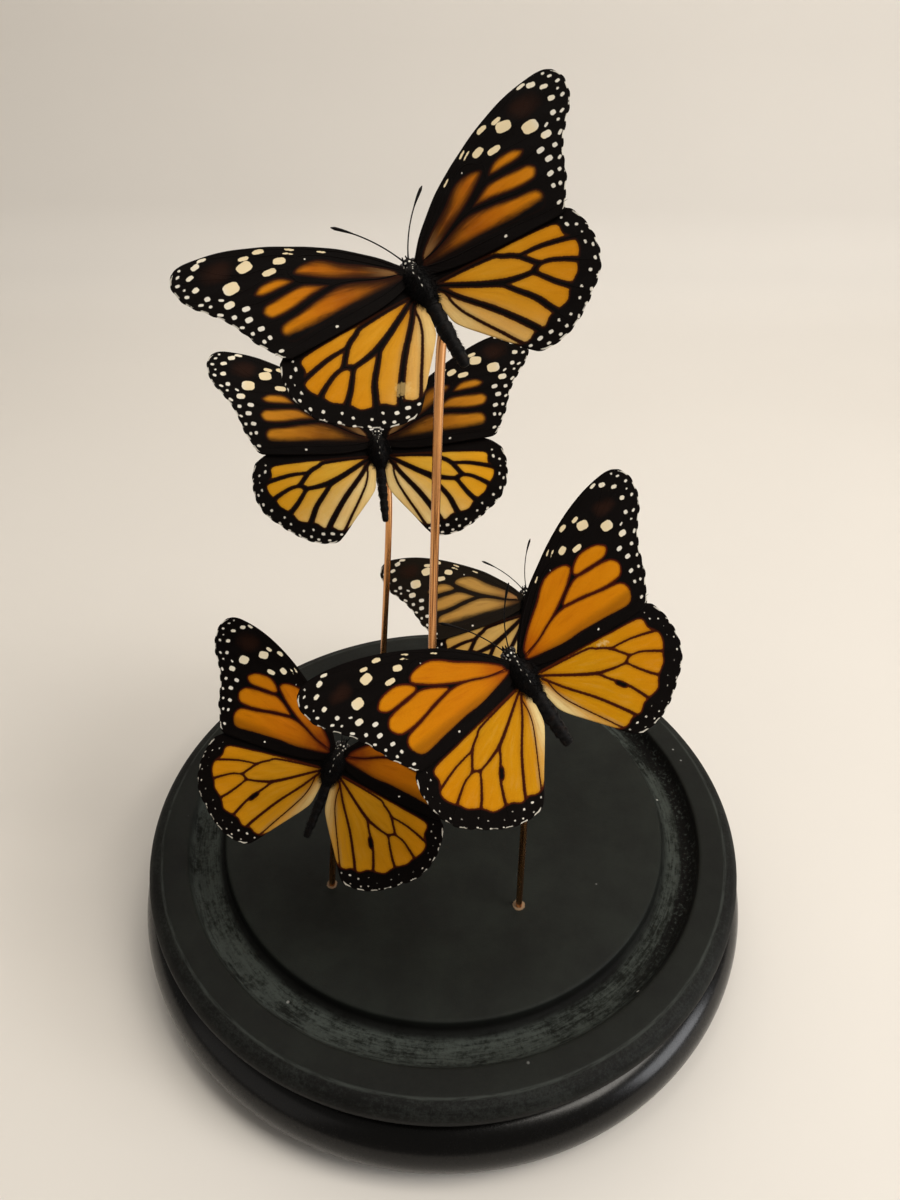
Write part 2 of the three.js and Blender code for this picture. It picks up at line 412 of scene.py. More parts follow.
def hand_over(piece: bpy.types.Object, slot: str, node: str) -> None:
    """Lets a piece ride on the root body and stand for its solid, and logs it.

    Args:
        piece: The finished piece.
        slot: The record's material slot. It is not used.
        node: The solid that it stands for.
    """
    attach(piece, "root")
    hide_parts(node)
    LOG.info("%s: %d faces, stands for %s", piece.name, len(piece.data.polygons), node)


# ---------------------------------------------------------------- shader building


def rgb(red: int, green: int, blue: int) -> Colour:
    """A screen colour as the linear colour that shaders use: c / 12.92 for dark shares, and
    ((c + 0.055) / 1.055)^2.4 for the others.

    Args:
        red: From 0 to 255.
        green: From 0 to 255.
        blue: From 0 to 255.

    Returns:
        The three linear shares.
    """
    shares = (c / 255 for c in (red, green, blue))
    r, g, b = (c / 12.92 if c <= 0.04045 else ((c + 0.055) / 1.055) ** 2.4 for c in shares)
    return r, g, b


class Value:
    """A number in a node tree. Arithmetic on it adds Math nodes."""

    def __init__(self, shader: Shader, socket: Socket) -> None:
        """Wraps an output socket of a shader's tree."""
        self.shader, self.socket = shader, socket

    def maths(self, operation: str, *others: Value | float, first: float | None = None) -> Value:
        """Adds a Math node.

        Args:
            operation: The node's operation.
            others: The inputs after this value.
            first: A number that goes before this value instead, for reflected operators.

        Returns:
            The node's result.
        """
        inputs = [self, *others] if first is None else [first, self]
        node = self.shader.node("ShaderNodeMath", {"operation": operation}, dict(enumerate(inputs)))
        return Value(self.shader, node.outputs[0])

    def __add__(self, other: Value | float) -> Value:
        """Sum."""
        return self.maths("ADD", other)

    __radd__ = __add__

    def __sub__(self, other: Value | float) -> Value:
        """Difference."""
        return self.maths("SUBTRACT", other)

    def __rsub__(self, other: float) -> Value:
        """Difference from a number."""
        return self.maths("SUBTRACT", first=other)

    def __mul__(self, other: Value | float) -> Value:
        """Product."""
        return self.maths("MULTIPLY", other)

    __rmul__ = __mul__

    def __truediv__(self, other: Value | float) -> Value:
        """Quotient."""
        return self.maths("DIVIDE", other)

    def __pow__(self, other: float) -> Value:
        """Power."""
        return self.maths("POWER", other)

    def between(self, low: float, high: float) -> Value:
        """Goes smoothly from 0 where this value is low to 1 where it is high.

        Args:
            low: The value for 0. It may be the larger of the two.
            high: The value for 1.

        Returns:
            The share from 0 to 1.
        """
        inputs = {"Value": self, "From Min": low, "From Max": high}
        if low > high:
            inputs = {"Value": self, "From Min": high, "From Max": low, "To Min": 1.0, "To Max": 0.0}
        settings = {"interpolation_type": "SMOOTHSTEP"}
        node = self.shader.node("ShaderNodeMapRange", settings, inputs)
        return Value(self.shader, node.outputs[0])


class Shader:
    """A material's node tree, built one expression at a time."""

    def __init__(self, name: str) -> None:
        """Starts an empty material.

        Args:
            name: The material's name.
        """
        self.material = bpy.data.materials.new(name)
        self.material.use_nodes = True
        self.tree = self.material.node_tree
        self.tree.nodes.clear()

    def node(self, kind: str, settings: dict | None = None, inputs: dict | None = None) -> bpy.types.Node:
        """Adds a node.

        Args:
            kind: The node's type.
            settings: Properties, set before the sockets are looked up.
            inputs: Socket names or numbers, with a value, a socket or a Value for each.

        Returns:
            The new node.
        """
        node = self.tree.nodes.new(kind)
        for key, setting in (settings or {}).items():
            setattr(node, key, setting)
        for key, given in (inputs or {}).items():
            source = given.socket if isinstance(given, Value) else given
            if isinstance(source, Socket):
                self.tree.links.new(source, node.inputs[key])
            elif isinstance(source, tuple) and node.inputs[key].type == "RGBA":
                node.inputs[key].default_value = (*source, 1.0)[:4]
            else:
                node.inputs[key].default_value = source
        return node

    def mark(self, name: str) -> Value:
        """A number stored on the mesh."""
        node = self.node("ShaderNodeAttribute", {"attribute_name": name})
        return Value(self, node.outputs["Fac"])

    def mark_vector(self, name: str) -> Socket:
        """Three numbers stored on the mesh."""
        return self.node("ShaderNodeAttribute", {"attribute_name": name}).outputs["Vector"]

    def place(self) -> Socket:
        """The object coordinates, in metres."""
        return self.node("ShaderNodeTexCoord").outputs["Object"]

    def parts(self, vector: Socket) -> tuple[Value, Value, Value]:
        """A vector's three numbers."""
        x, y, z = self.node("ShaderNodeSeparateXYZ", {}, {0: vector}).outputs
        return Value(self, x), Value(self, y), Value(self, z)

    def joined(self, x: Value, y: Value) -> Socket:
        """A vector of two numbers, with 0 as its third."""
        return self.node("ShaderNodeCombineXYZ", {}, {0: x, 1: y}).outputs[0]

    def stretched(self, vector: Socket, scale: Place, spin: float = 0.0) -> Socket:
        """A vector turned about Z, then scaled.

        Args:
            vector: The vector.
            scale: Scale on each axis.
            spin: Degrees about Z.

        Returns:
            The new vector.
        """
        rotation = (0.0, 0.0, math.radians(spin))
        turned = self.node("ShaderNodeMapping", {}, {"Vector": vector, "Rotation": rotation})
        node = self.node("ShaderNodeMapping", {}, {"Vector": turned.outputs[0], "Scale": scale})
        return node.outputs[0]

    def noise(self, vector: Socket, scale: float, detail: float = 3.0, rough: float = 0.5) -> Value:
        """Cloudy noise from about 0.25 to 0.75."""
        inputs = {"Vector": vector, "Scale": scale, "Detail": detail, "Roughness": rough}
        return Value(self, self.node("ShaderNodeTexNoise", {}, inputs).outputs["Fac"])

    def cells(self, vector: Socket, scale: float) -> Value:
        """Distance to the nearest of scattered points."""
        node = self.node("ShaderNodeTexVoronoi", {}, {"Vector": vector, "Scale": scale})
        return Value(self, node.outputs["Distance"])

    def mix(self, share: Value | float, low: Tint, high: Tint) -> Socket:
        """A colour that goes from low to high as share goes from 0 to 1."""
        node = self.node("ShaderNodeMix", {"data_type": "RGBA"}, {0: share, 6: low, 7: high})
        return node.outputs[2]

    def bump(self, height: Value, depth: float, strength: float = 1.0) -> Socket:
        """A normal from a height of 0 to 1 that stands for depth millimetres."""
        inputs = {"Height": height, "Distance": depth * MM, "Strength": strength}
        return self.node("ShaderNodeBump", {}, inputs).outputs[0]

    def finished(self, **sockets: Value | Socket | float) -> Material:
        """Closes the tree with a Principled shader.

        Args:
            sockets: What each socket gets, by its name with _ for each space.

        Returns:
            The finished material.
        """
        inputs = {key.replace("_", " "): given for key, given in sockets.items()}
        surface = self.node("ShaderNodeBsdfPrincipled", {}, inputs)
        self.node("ShaderNodeOutputMaterial", {}, {"Surface": surface.outputs[0]})
        return self.material


# ---------------------------------------------------------------- finishes


@dataclass(frozen=True)
class Zone:
    """Part of the base, bounded by ramps over its radius and its height in millimetres. A ramp
    goes from 0 at its first number to 1 at its second."""

    radii: tuple[Point, ...] = ()
    heights: tuple[Point, ...] = ()


class PaintedPoint:
    """A point on the base in millimetres, and the patterns that its colour and relief share."""

    def __init__(self, s: Shader) -> None:
        """Reads the object coordinates. The rings are noise over the radius and the angle.

        Args:
            s: The shader that is being built.
        """
        self.place = s.place()
        x, y, z = s.parts(self.place)
        self.x, self.y, self.height = x / MM, y / MM, z / MM
        self.radius = (x * x + y * y) ** 0.5 / MM
        self.cloud = s.noise(self.place, 60, 4, 0.6)
        self.fine = s.noise(self.place, 900, 3, 0.6)
        turned = s.joined(self.radius * 1.1, y.maths("ARCTAN2", x) * 9.0)
        self.rings = s.noise(turned, 1.0, 4, 0.7)
        self.masks: dict[Zone, Value] = {}

    def within(self, zone: Zone) -> Value:
        """A zone's mask, the product of its ramps. It is made once.

        Args:
            zone: The zone.

        Returns:
            1 on the zone and 0 away from it.
        """
        if zone not in self.masks:
            ramps = [self.radius.between(*ramp) for ramp in zone.radii]
            ramps += [self.height.between(*ramp) for ramp in zone.heights]
            self.masks[zone] = math.prod(ramps[1:], start=ramps[0])
        return self.masks[zone]


@dataclass(frozen=True)
class BlackPaint:
    """Matt black paint on turned wood: dusty in the groove, glossier on the rounded side, with raw wood
    showing round two of the holes. Its colour also carries painted shade on the groove's walls, on the
    lip's face and in the recess, a painted shadow inside the groove's outer wall and a painted highlight
    along the rim's edge."""

    paint: Colour = rgb(18, 20, 17)
    faded: Colour = rgb(31, 35, 30)
    roll: Colour = rgb(5, 4, 3)
    # Pale grey for the dusting in the groove and on the bevel, and for the painted highlight along the
    # rim's edge.
    dust_and_highlight: Colour = rgb(67, 72, 68)
    shade: Colour = rgb(4, 3, 2)
    lint: Colour = rgb(190, 190, 185)
    wood: Colour = rgb(142, 118, 92)
    groove: Zone = Zone(((74.6, 77.4), (87.2, 85.6)), ((25, 28),))
    # Painted shade on the groove's inner wall.
    inner_wall_shade: Zone = Zone(((74.4, 75.2), (78.4, 76.0)), ((25, 28),))
    # Painted shadow that the outer wall casts on the groove's floor at its foot.
    outer_wall_shadow: Zone = Zone(((80.4, 82.4), (87.4, 86.9)), ((25, 28),))
    rim: Zone = Zone(((86.8, 87.8),), ((28, 29),))
    # The rim's top edge, where a painted highlight runs.
    rim_edge: Zone = Zone(((94.6, 95.2), (96.0, 95.4)), ((32, 33),))
    bevel: Zone = Zone(((95.3, 96.0),), ((29.5, 30.5),))
    # The lip's vertical face, which gets painted shade.
    lip: Zone = Zone(((98.2, 98.8),), ((30.9, 30.2), (25.5, 26.5)))
    # The recess under the rim, which gets painted shade and a rougher finish.
    recess: Zone = Zone(((89, 90),), ((19.5, 21.0), (29.6, 28.4)))
    rounded: Zone = Zone((), ((22.5, 20.0),))
    plateau: Zone = Zone((), ((33, 33.8),))
    torn_holes: tuple[Place, ...] = ((23.9, -36.7, 2.1), (-35.9, -29.5, 1.9))

    def coat(self, s: Shader, at: PaintedPoint) -> Socket:
        """The paint itself: faded in clouds, a little darker on the rim and black on the roll.

        Args:
            s: The shader.
            at: The point.

        Returns:
            Its colour.
        """
        colour = s.mix(at.cloud.between(0.3, 0.75) * 0.6, self.paint, self.faded)
        colour = s.mix(at.within(self.rim) * 0.3, colour, self.shade)
        return s.mix(at.within(self.rounded), colour, self.roll)

    def groove_dust_and_shade(self, s: Shader, at: PaintedPoint, colour: Socket) -> Socket:
        """Dust rubbed into the groove's floor, with painted shade on its inner wall and a painted shadow
        on the floor at the foot of its outer wall. The painted shadow grows, and the inner wall's painted
        shade fades, towards the right and a little to the back, the side that the light comes from.

        Args:
            s: The shader.
            at: The point.
            colour: The coat.

        Returns:
            The coat with both on it.
        """
        patchy = s.noise(at.place, 260, 6, 0.9) * 0.4 + at.fine * 0.15 + at.rings * 0.45
        dusty = at.within(self.groove) * (patchy + (at.cloud - 0.5) * 0.4).between(0.4, 0.58)
        # 1 on the side that the light comes from, to the right and a little to the back; it sets where
        # the painted shadow and shade fall.
        light_side = (at.x + at.y * 0.35).between(20, 62)
        # Painted shadow at the foot of the outer wall, stronger on the light's side.
        outer = at.within(self.outer_wall_shadow) * (0.2 + light_side * 0.78) * at.fine.between(0.8, 0.48)
        colour = s.mix(dusty * 0.85, colour, self.dust_and_highlight)
        # Painted shade on the inner wall, weaker on the light's side.
        colour = s.mix(at.within(self.inner_wall_shade) * (0.85 - light_side * 0.4), colour, self.shade)
        # Lays on the painted shadow of the outer wall.
        return s.mix(outer, colour, self.shade)

    def rim_dust_shade_and_highlight(self, s: Shader, at: PaintedPoint, colour: Socket) -> Socket:
        """Painted shade on the lip's face and in the recess, a dark bevel with worn mottles, and a
        painted highlight along the rim's edge, mottled like them.

        Args:
            s: The shader.
            at: The point.
            colour: The coat.

        Returns:
            The coat with these on it.
        """
        bevel = at.within(self.bevel)
        patchy = s.noise(at.place, 900, 5, 0.9) * 0.6 + at.rings * 0.2 + at.cloud * 0.2
        # Painted highlight along the rim's edge, mottled by the rings.
        edge_highlight = at.within(self.rim_edge) * at.rings.between(0.35, 0.6)
        # Painted shade on the lip's vertical face.
        colour = s.mix(at.within(self.lip) * 0.9, colour, self.shade)
        colour = s.mix(bevel * 0.75, colour, self.shade)
        colour = s.mix(bevel * patchy.between(0.44, 0.6) * 0.22, colour, self.dust_and_highlight)
        # Lays the painted highlight on the rim's edge.
        colour = s.mix(edge_highlight * 0.45, colour, self.dust_and_highlight)
        # Painted shade in the recess under the rim.
        return s.mix(at.within(self.recess) * 0.9, colour, self.shade)

    def torn(self, s: Shader, at: PaintedPoint) -> Value:
        """Where paint has come off round the torn holes: distance to a hole, ragged with noise.

        Args:
            s: The shader.
            at: The point.

        Returns:
            1 on raw wood and 0 on paint.
        """
        fray = (s.noise(at.place, 1100, 3) - 0.5) * 1.1
        near = []
        for hole_x, hole_y, reach in self.torn_holes:
            away = ((at.x - hole_x) ** 2 + (at.y - hole_y) ** 2) ** 0.5
            near.append((away + fray).between(reach, reach - 0.4))
        return sum(near[1:], start=near[0]) * at.within(self.plateau)

    def build(self) -> Material:
        """Makes the material from object coordinates.

        Returns:
            The finished material.
        """
        s = Shader("black_paint")
        at = PaintedPoint(s)
        groove, bevel, rounded = (at.within(zone) for zone in (self.groove, self.bevel, self.rounded))
        lint = s.cells(at.place, 75).between(0.045, 0.02) * s.noise(at.place, 21, 1).between(0.52, 0.6)
        colour = self.rim_dust_shade_and_highlight(s, at, self.groove_dust_and_shade(s, at, self.coat(s, at)))
        colour = s.mix(lint * (1 - rounded) * 0.7, colour, self.lint)
        colour = s.mix(self.torn(s, at) * 0.85, colour, self.wood)
        polish = rounded * (0.4 - at.height.between(13, 7) * 0.1 - at.cloud * 0.1)
        rough = 0.6 + (at.fine - 0.5) * 0.22 + groove * 0.28 + bevel * 0.06
        rough = rough - polish + at.within(self.recess) * 0.2
        relief = s.noise(at.place, 2600, 2, 0.7) * 0.3 + at.fine * (0.3 + groove * 1.6 + bevel * 0.8)
        relief = relief * (1 - rounded * 0.7) + at.cloud * 0.2
        return s.finished(
            Base_Color=colour,
            Roughness=rough,
            Normal=s.bump(relief, 0.16, 0.7),
            Specular_IOR_Level=0.15,
            Coat_Weight=rounded * 0.3,
            Coat_Roughness=0.2,
        )


@dataclass(frozen=True)
class CopperWire:
    """Drawn copper wire with fine lengthwise streaks, dark and bright, that are partly drawing marks and
    partly painted reflections, and a few duller brown stretches.
    """

    copper: Colour = (0.68, 0.32, 0.115)
    # Dark brown of the stains, and of the painted reflections in the dark streaks.
    tarnish_and_painted_reflection: Colour = (0.11, 0.035, 0.014)
    # Painted highlight of the bright streaks.
    bright: Colour = (0.95, 0.56, 0.3)

    def build(self) -> Material:
        """Makes the material from object coordinates.

        Returns:
            The finished material.
        """
        s = Shader("copper_wire")
        place = s.place()
        drawn = s.mark_vector("drawn")
        streaks = s.noise(s.stretched(drawn, (1.0, 1.0, 1.2)), 1.7, 3, 0.6)
        stains = s.noise(s.stretched(place, (1.0, 1.0, 0.25)), 130, 4, 0.6)
        colour = s.mix(stains.between(0.45, 0.75) * 0.45, self.copper, self.tarnish_and_painted_reflection)
        # Dark streaks: partly drawing marks, partly painted reflections along the wire.
        colour = s.mix(streaks.between(0.53, 0.6) * 0.9, colour, self.tarnish_and_painted_reflection)
        # Bright streaks: partly drawing marks, partly painted highlights along the wire.
        colour = s.mix(streaks.between(0.47, 0.4) * 0.7, colour, self.bright)
        return s.finished(
            Base_Color=colour,
            Metallic=1.0,
            Roughness=0.2 + stains.between(0.4, 0.8) * 0.2 + (streaks - 0.5) * 0.15,
            Normal=s.bump(streaks, 0.03, 0.7),
        )


class WingPoint:
    """A point of a wing's drawing, and the patterns that its colours and relief share."""

    def __init__(self, s: Shader) -> None:
        """Reads the drawing's coordinates from the mesh. Rays and folds fan out from the hinge, so
        their noise is read at (14 times the angle, 0.11 of the distance).

        Args:
            s: The shader that is being built.
        """
        self.plan = s.mark_vector("plan")
        self.x, self.y, _ = s.parts(self.plan)
        self.fan = self.y.maths("ARCTAN2", self.x + 0.8)
        distance = (self.x * self.x + self.y * self.y) ** 0.5
        polar = s.joined(self.fan * 14.0, distance * 0.11)
        self.rays = s.noise(polar, 1.0, 4, 0.65)
        self.folds = s.noise(polar, 0.45, 2, 0.5)
        self.rows = s.noise(s.stretched(self.plan, (0.5, 2.2, 1.0), -20), 3.4, 3, 0.7)
        self.cloud = s.noise(self.plan, 0.16, 3, 0.5)
        self.ragged = (s.noise(self.plan, 2.0, 3, 0.6) - 0.5) * 0.32


@dataclass(frozen=True)
class WingScales:
    """Scaled wing membrane: coloured ground between black veins, with cream and white spots.

    The ground goes from root to ground to outer along the wing, and to pale past the angles
    pale_turn. Smoke is the dark haze beside veins, which root_smoke widens near the hinge.
    """

    name: str
    ground: Colour
    outer: Colour
    root: Colour
    pale: Colour
    vein: Colour = rgb(20, 10, 5)
    vein_brown: Colour = rgb(46, 18, 5)
    black: Colour = rgb(8, 5, 4)
    brown: Colour = rgb(42, 22, 13)
    tan: Colour = rgb(182, 134, 80)
    cream: Colour = rgb(228, 209, 170)
    pale_cream: Colour = rgb(228, 218, 196)
    white: Colour = rgb(226, 219, 205)
    root_reach: float = 14.0
    pale_turn: Point = (200.0, 220.0)
    vein_growth: float = 0.0
    smoke: float = 0.25
    smoke_width: float = 0.8
    root_smoke: float = 0.0
    rear_line: Point = (-60.0, 0.0)
    rear_depth: float = 1.0
    hinge_tan: float = 0.0
    tip_brown: Place | None = (35.5, 20.0, 3.2)

    def scales(self, s: Shader, at: WingPoint) -> Socket:
        """The scales of the ground, streaked with rays, clouds and rows.

        Args:
            s: The shader.
            at: The point.

        Returns:
            Their colour.
        """
        turned = (at.fan * (-180 / math.pi) + (at.rays - 0.5) * 22).between(*self.pale_turn)
        colour = s.mix(at.x.between(1.0, self.root_reach), self.root, self.ground)
        colour = s.mix(at.x.between(14.0, 31.0) * 0.85, colour, self.outer)
        colour = s.mix(turned, colour, self.pale)
        colour = s.mix(at.rays.between(0.45, 0.75) * 0.3, colour, self.root)
        colour = s.mix(at.rays.between(0.5, 0.25) * 0.08, colour, self.pale)
        colour = s.mix(at.cloud.between(0.35, 0.65) * 0.2, colour, self.outer)
        return s.mix(at.rows.between(0.45, 0.75) * 0.12, colour, self.vein)

    def smoked(self, s: Shader, at: WingPoint, colour: Socket, ground: Value, rear: Value) -> Socket:
        """Smoke beside the veins, tan at the hinge, black along the rear and a pale underside.

        Args:
            s: The shader.
            at: The point.
            colour: The scales.
            ground: Distance to the ground, negative on it.
            rear: Mask of the black rear of a forewing.

        Returns:
            The scales with these on them.
        """
        width = at.x.between(24, 4) * self.root_smoke + self.smoke_width
        smoke = (ground / width + (at.rays - 0.5) * 0.6).between(-1, 0.05) * self.smoke
        hinge = at.x.between(7.5, 2.0) * at.fan.between(0.28, 0.44) * at.rays.between(0.3, 0.5)
        colour = s.mix(smoke, colour, self.vein)
        colour = s.mix(hinge * self.hinge_tan, colour, self.tan)
        colour = s.mix(rear * self.rear_depth, colour, self.black)
        return s.mix(s.mark("underside") * 0.45, colour, self.pale)

    def dark(self, s: Shader, at: WingPoint, ground: Value, rear: Value) -> Tint:
        """Black of the veins and margins, browner beside the ground and in a patch at the tip.

        Args:
            s: The shader.
            at: The point.
            ground: Distance to the ground, negative on it.
            rear: Mask of the black rear of a forewing.

        Returns:
            Its colour.
        """
        colour: Tint = self.black
        if self.tip_brown:
            tip_x, tip_y, reach = self.tip_brown
            away = ((at.x - tip_x) ** 2 * 0.4 + (at.y - tip_y) ** 2) ** 0.5 + (at.cloud - 0.5) * 3
            colour = s.mix(away.between(reach, 0.3) * 0.65, colour, self.brown)
        colour = s.mix(at.rows.between(0.5, 0.8) * 0.22, colour, self.brown)
        beside = ground.between(0.6, 0.15) * (1 - rear * 0.9)
        return s.mix(beside * 0.85, colour, self.vein_brown)

    def spotted(self, s: Shader, at: WingPoint, colour: Socket) -> Socket:
        """Rubbed scales, cream spots, white dots and the broken white fringe.

        Args:
            s: The shader.
            at: The point.
            colour: The wing without them.

        Returns:
            The wing with them.
        """
        scraped = (s.noise(at.plan, 1.3, 3, 0.7) - 0.5) * 4.5
        blotch = (s.noise(at.plan, 0.75, 2, 0.5) - 0.5) * 0.9
        worn = (s.mark("worn") + scraped).between(0.5, -0.5)
        cream = (s.mark("cream") + at.ragged * 0.5 + blotch * 0.45).between(0.08, -0.1)
        white = (s.mark("white") + at.ragged * 0.5 + blotch * 0.15).between(0.07, -0.1)
        broken = s.noise(at.plan, 0.6, 1).between(0.36, 0.5)
        fringe = (s.mark("fringe") + at.ragged * 0.4).between(0.06, -0.06) * broken
        bone = s.mix(at.x.between(34.5, 36.5), self.cream, self.pale_cream)
        colour = s.mix(worn * 0.4, colour, self.pale)
        colour = s.mix(cream * 0.95, colour, bone)
        colour = s.mix(white * 0.92, colour, self.white)
        return s.mix(fringe * 0.75, colour, self.white)

    def build(self) -> Material:
        """Makes the material from the distances stored on the wing.

        Returns:
            The finished material.
        """
        s = Shader(self.name)
        at = WingPoint(s)
        start, slope = self.rear_line
        ground = s.mark("ground") + at.x.between(-5.0, 13.0) * self.vein_growth
        rear = (at.y - start - at.x * slope + (at.rays - 0.5) * 2.5).between(1.9, -0.4)
        frayed = at.ragged + (at.rays - 0.5) * self.smoke * 0.9
        inside = (ground + frayed).between(0.12, -0.12)
        scales = self.smoked(s, at, self.scales(s, at), ground, rear)
        colour = s.mix(inside, self.dark(s, at, ground, rear), scales)
        relief = at.rows * 0.5 + s.noise(at.plan, 9, 2, 0.6) * 0.35 + at.rays * 0.8 + at.folds * 2.2
        return s.finished(
            Base_Color=self.spotted(s, at, colour),
            Roughness=0.62 + (at.rows - 0.5) * 0.3 - inside * 0.04,
            Normal=s.bump(relief, 0.09, 0.9),
            Specular_IOR_Level=0.04,
        )


@dataclass(frozen=True)
class InsectHide:
    """Black skin and hair with a brown cast, and white dots where the mesh marks them."""

    hide: Colour = rgb(4, 3, 3)
    worn: Colour = rgb(31, 18, 10)
    dots: Colour = rgb(225, 220, 208)
    rough: float = 0.58

    def build(self) -> Material:
        """Makes the material from object coordinates.

        Returns:
            The finished material.
        """
        s = Shader("insect_hide")
        place = s.place()
        fine = s.noise(place, 3200, 3, 0.6)
        broad = s.noise(place, 500, 3, 0.6)
        colour = s.mix(broad.between(0.45, 0.75) * 0.4, self.hide, self.worn)
        colour = s.mix(fine.between(0.55, 0.8) * 0.3, colour, self.worn)
        colour = s.mix((s.mark("dots") + (fine - 0.5) * 0.2).between(0.05, -0.06), colour, self.dots)
        return s.finished(
            Base_Color=colour,
            Roughness=self.rough + (fine - 0.5) * 0.2,
            Normal=s.bump(fine, 0.04, 0.7),
            Specular_IOR_Level=0.11,
        )


@dataclass(frozen=True)
class CompoundEye:
    """Dark glossy eye with fine facets."""

    dark: Colour = rgb(16, 11, 9)
    brown: Colour = rgb(40, 26, 18)

    def build(self) -> Material:
        """Makes the material from object coordinates.

        Returns:
            The finished material.
        """
        s = Shader("compound_eye")
        place = s.place()
        facets = s.cells(place, 9000)
        return s.finished(
            Base_Color=s.mix(s.noise(place, 900, 2).between(0.4, 0.7), self.dark, self.brown),
            Roughness=0.22 + facets * 0.1,
            Normal=s.bump(facets, 0.012, 0.6),
        )


@dataclass(frozen=True)
class ClearGlue:
    """Bead of dried glue between a stem and a body."""

    clear: Colour = rgb(120, 92, 66)
    aged: Colour = rgb(64, 44, 30)

    def build(self) -> Material:
        """Makes the material from object coordinates.

        Returns:
            The finished material.
        """
        s = Shader("dried_glue")
        lumps = s.noise(s.place(), 700, 3)
        return s.finished(
            Base_Color=s.mix(lumps.between(0.35, 0.65), self.clear, self.aged),
            Roughness=0.3 + lumps * 0.2,
            Normal=s.bump(lumps, 0.1),
        )


# ---------------------------------------------------------------- base and stems


@dataclass
class TurnedBase:
    """Round base: flat plateau, groove for a dome, bevelled rim, deep recess and a heavy roll.

    Rows of under are radius and height. Rows of rim and groove are radius, depth below the
    plateau and rounding, from the recess up over the rim, then down into the groove and out.
    """

    under: tuple[Point, ...] = ((0, 0), (40, 0), (80, 0), (91.5, 0), (92.6, 0.1))
    roll_centre: Point = (94.0, 10.4)
    roll_radius: float = 10.0
    roll_angles: Point = (-86, 80)
    roll_end: Point = (95.2, 20.36)
    rim: tuple[Place, ...] = (
        (94.2, 13.2, 0.7), (94.5, 10.4, 1.2), (96.3, 8.2, 1.5), (99.3, 6.9, 0.8), (100.0, 5.2, 0.9),
        (99.8, 3.3, 1.1), (98.2, 1.1, 1.1), (95.1, 0, 1.3), (91, 0, 0.5),
    )
    groove: tuple[Place, ...] = (
        (87.1, 0, 1.0), (85.9, 3.1, 1.6), (84, 5.0, 1.4), (80.5, 5.0, 0.4), (77, 5.0, 1.0),
        (75.2, 3.2, 0.9), (74.7, 0.2, 0.7), (73.4, 0, 0.6),
    )
    plateau_radii: tuple[float, ...] = (60, 40, 20, 8, 0)
    segments: int = 216

    def profile(self) -> np.ndarray:
        """Half section from the underside's centre round the outside to the plateau's centre: an
        arc, centre + radius (cos a, sin a), for the roll, and lines with rounded corners.

        Returns:
            Rows of radius and height.
        """
        angle = np.radians(np.linspace(*self.roll_angles, 40))[:, None]
        roll = self.roll_centre + self.roll_radius * np.hstack([np.cos(angle), np.sin(angle)])
        corners = [(*self.roll_end, 0.0)]
        corners += [(r, BASE_HEIGHT - depth, rounding) for r, depth, rounding in self.rim + self.groove]
        plateau = np.array([(radius, BASE_HEIGHT) for radius in self.plateau_radii])
        return np.vstack([self.under, roll[1:], rounded_profile(corners)[1:], plateau])

    def build(self) -> None:
        """Makes the base and hands it over."""
        skin = revolved(self.profile(), self.segments)
        hand_over(make_piece("turned_base", [skin], [BlackPaint().build()]), "painted_wood", "base")


@dataclass
class Stem:
    """Copper wire from its hole in the base to the underside of a butterfly. Its foot, knee and
    tip are points on it, with heights above the plateau."""

    name: str
    radius: float
    foot: Point
    knee: Place
    tip: Place
    depth: float = 11.0
    tip_overlap: float = 0.7
    points: int = 90

    def build(self, copper: Material, glue: Material) -> None:
        """Makes the wire and its bead of glue and hands them over.

        Args:
            copper: Finish of the wire.
            glue: Finish of the bead.
        """
        foot = np.array([*self.foot, 0.0])
        knee, tip = np.array(self.knee, float), np.array(self.tip, float)
        start = foot - self.depth * unit(knee - foot)
        end = tip + self.tip_overlap * unit(tip - knee)
        line = smooth_line([start, (start + knee) / 2, knee, end], np.linspace(0, 1, self.points))
        path = line + [0, 0, BASE_HEIGHT]
        radii = np.full(self.points, self.radius)
        radii[[0, -1]] = self.radius * 0.8
        wire = tube(path, radii, 20, (1, 0, 0))
        bead = ellipsoid(tuple(path[-1] + [0, 0, -0.2]), (self.radius * 1.25, self.radius * 1.25, 0.7))
        bead.material = 1
        piece = make_piece(f"wire_{self.name}", [wire, bead], [copper, glue])
        hand_over(piece, "copper_wire", f"stem_{self.name}")


def display_stems() -> list[Stem]:
    """The five stems.

    Returns:
        The stems, each named after its butterfly.
    """
    return [
        Stem("top", 1.15, foot=(-5.8, -9.0), knee=(-1.9, -9.9, 165), tip=(-0.5, -10.7, 175.5)),
        Stem("upper_left", 1.0, foot=(-24.1, 25), knee=(-17, 22.8, 110), tip=(-18.7, 23.6, 121.7)),
        Stem("back_right", 1.0, foot=(29.5, 29), knee=(29.6, 29.2, 50), tip=(29.7, 29.3, 62.2)),
        Stem("front_right", 1.0, foot=(23.9, -36.7), knee=(22, -39.6, 80), tip=(22.2, -40.1, 94.9)),
        Stem("front_left", 1.0, foot=(-35.9, -29.5), knee=(-32.6, -27.9, 38), tip=(-31.9, -27.2, 50.35)),
    ]


# ---------------------------------------------------------------- wings


class Side(Enum):
    """Side of the body, seen from above with the head forwards."""

    LEFT = -1
    RIGHT = 1


class Sex(Enum):
    """Females have broader veins, and males a scent spot on each hindwing."""

    MALE = "male"
    FEMALE = "female"


class Pair(Enum):
    """Pair of wings."""

    FORE = "forewing"
    HIND = "hindwing"


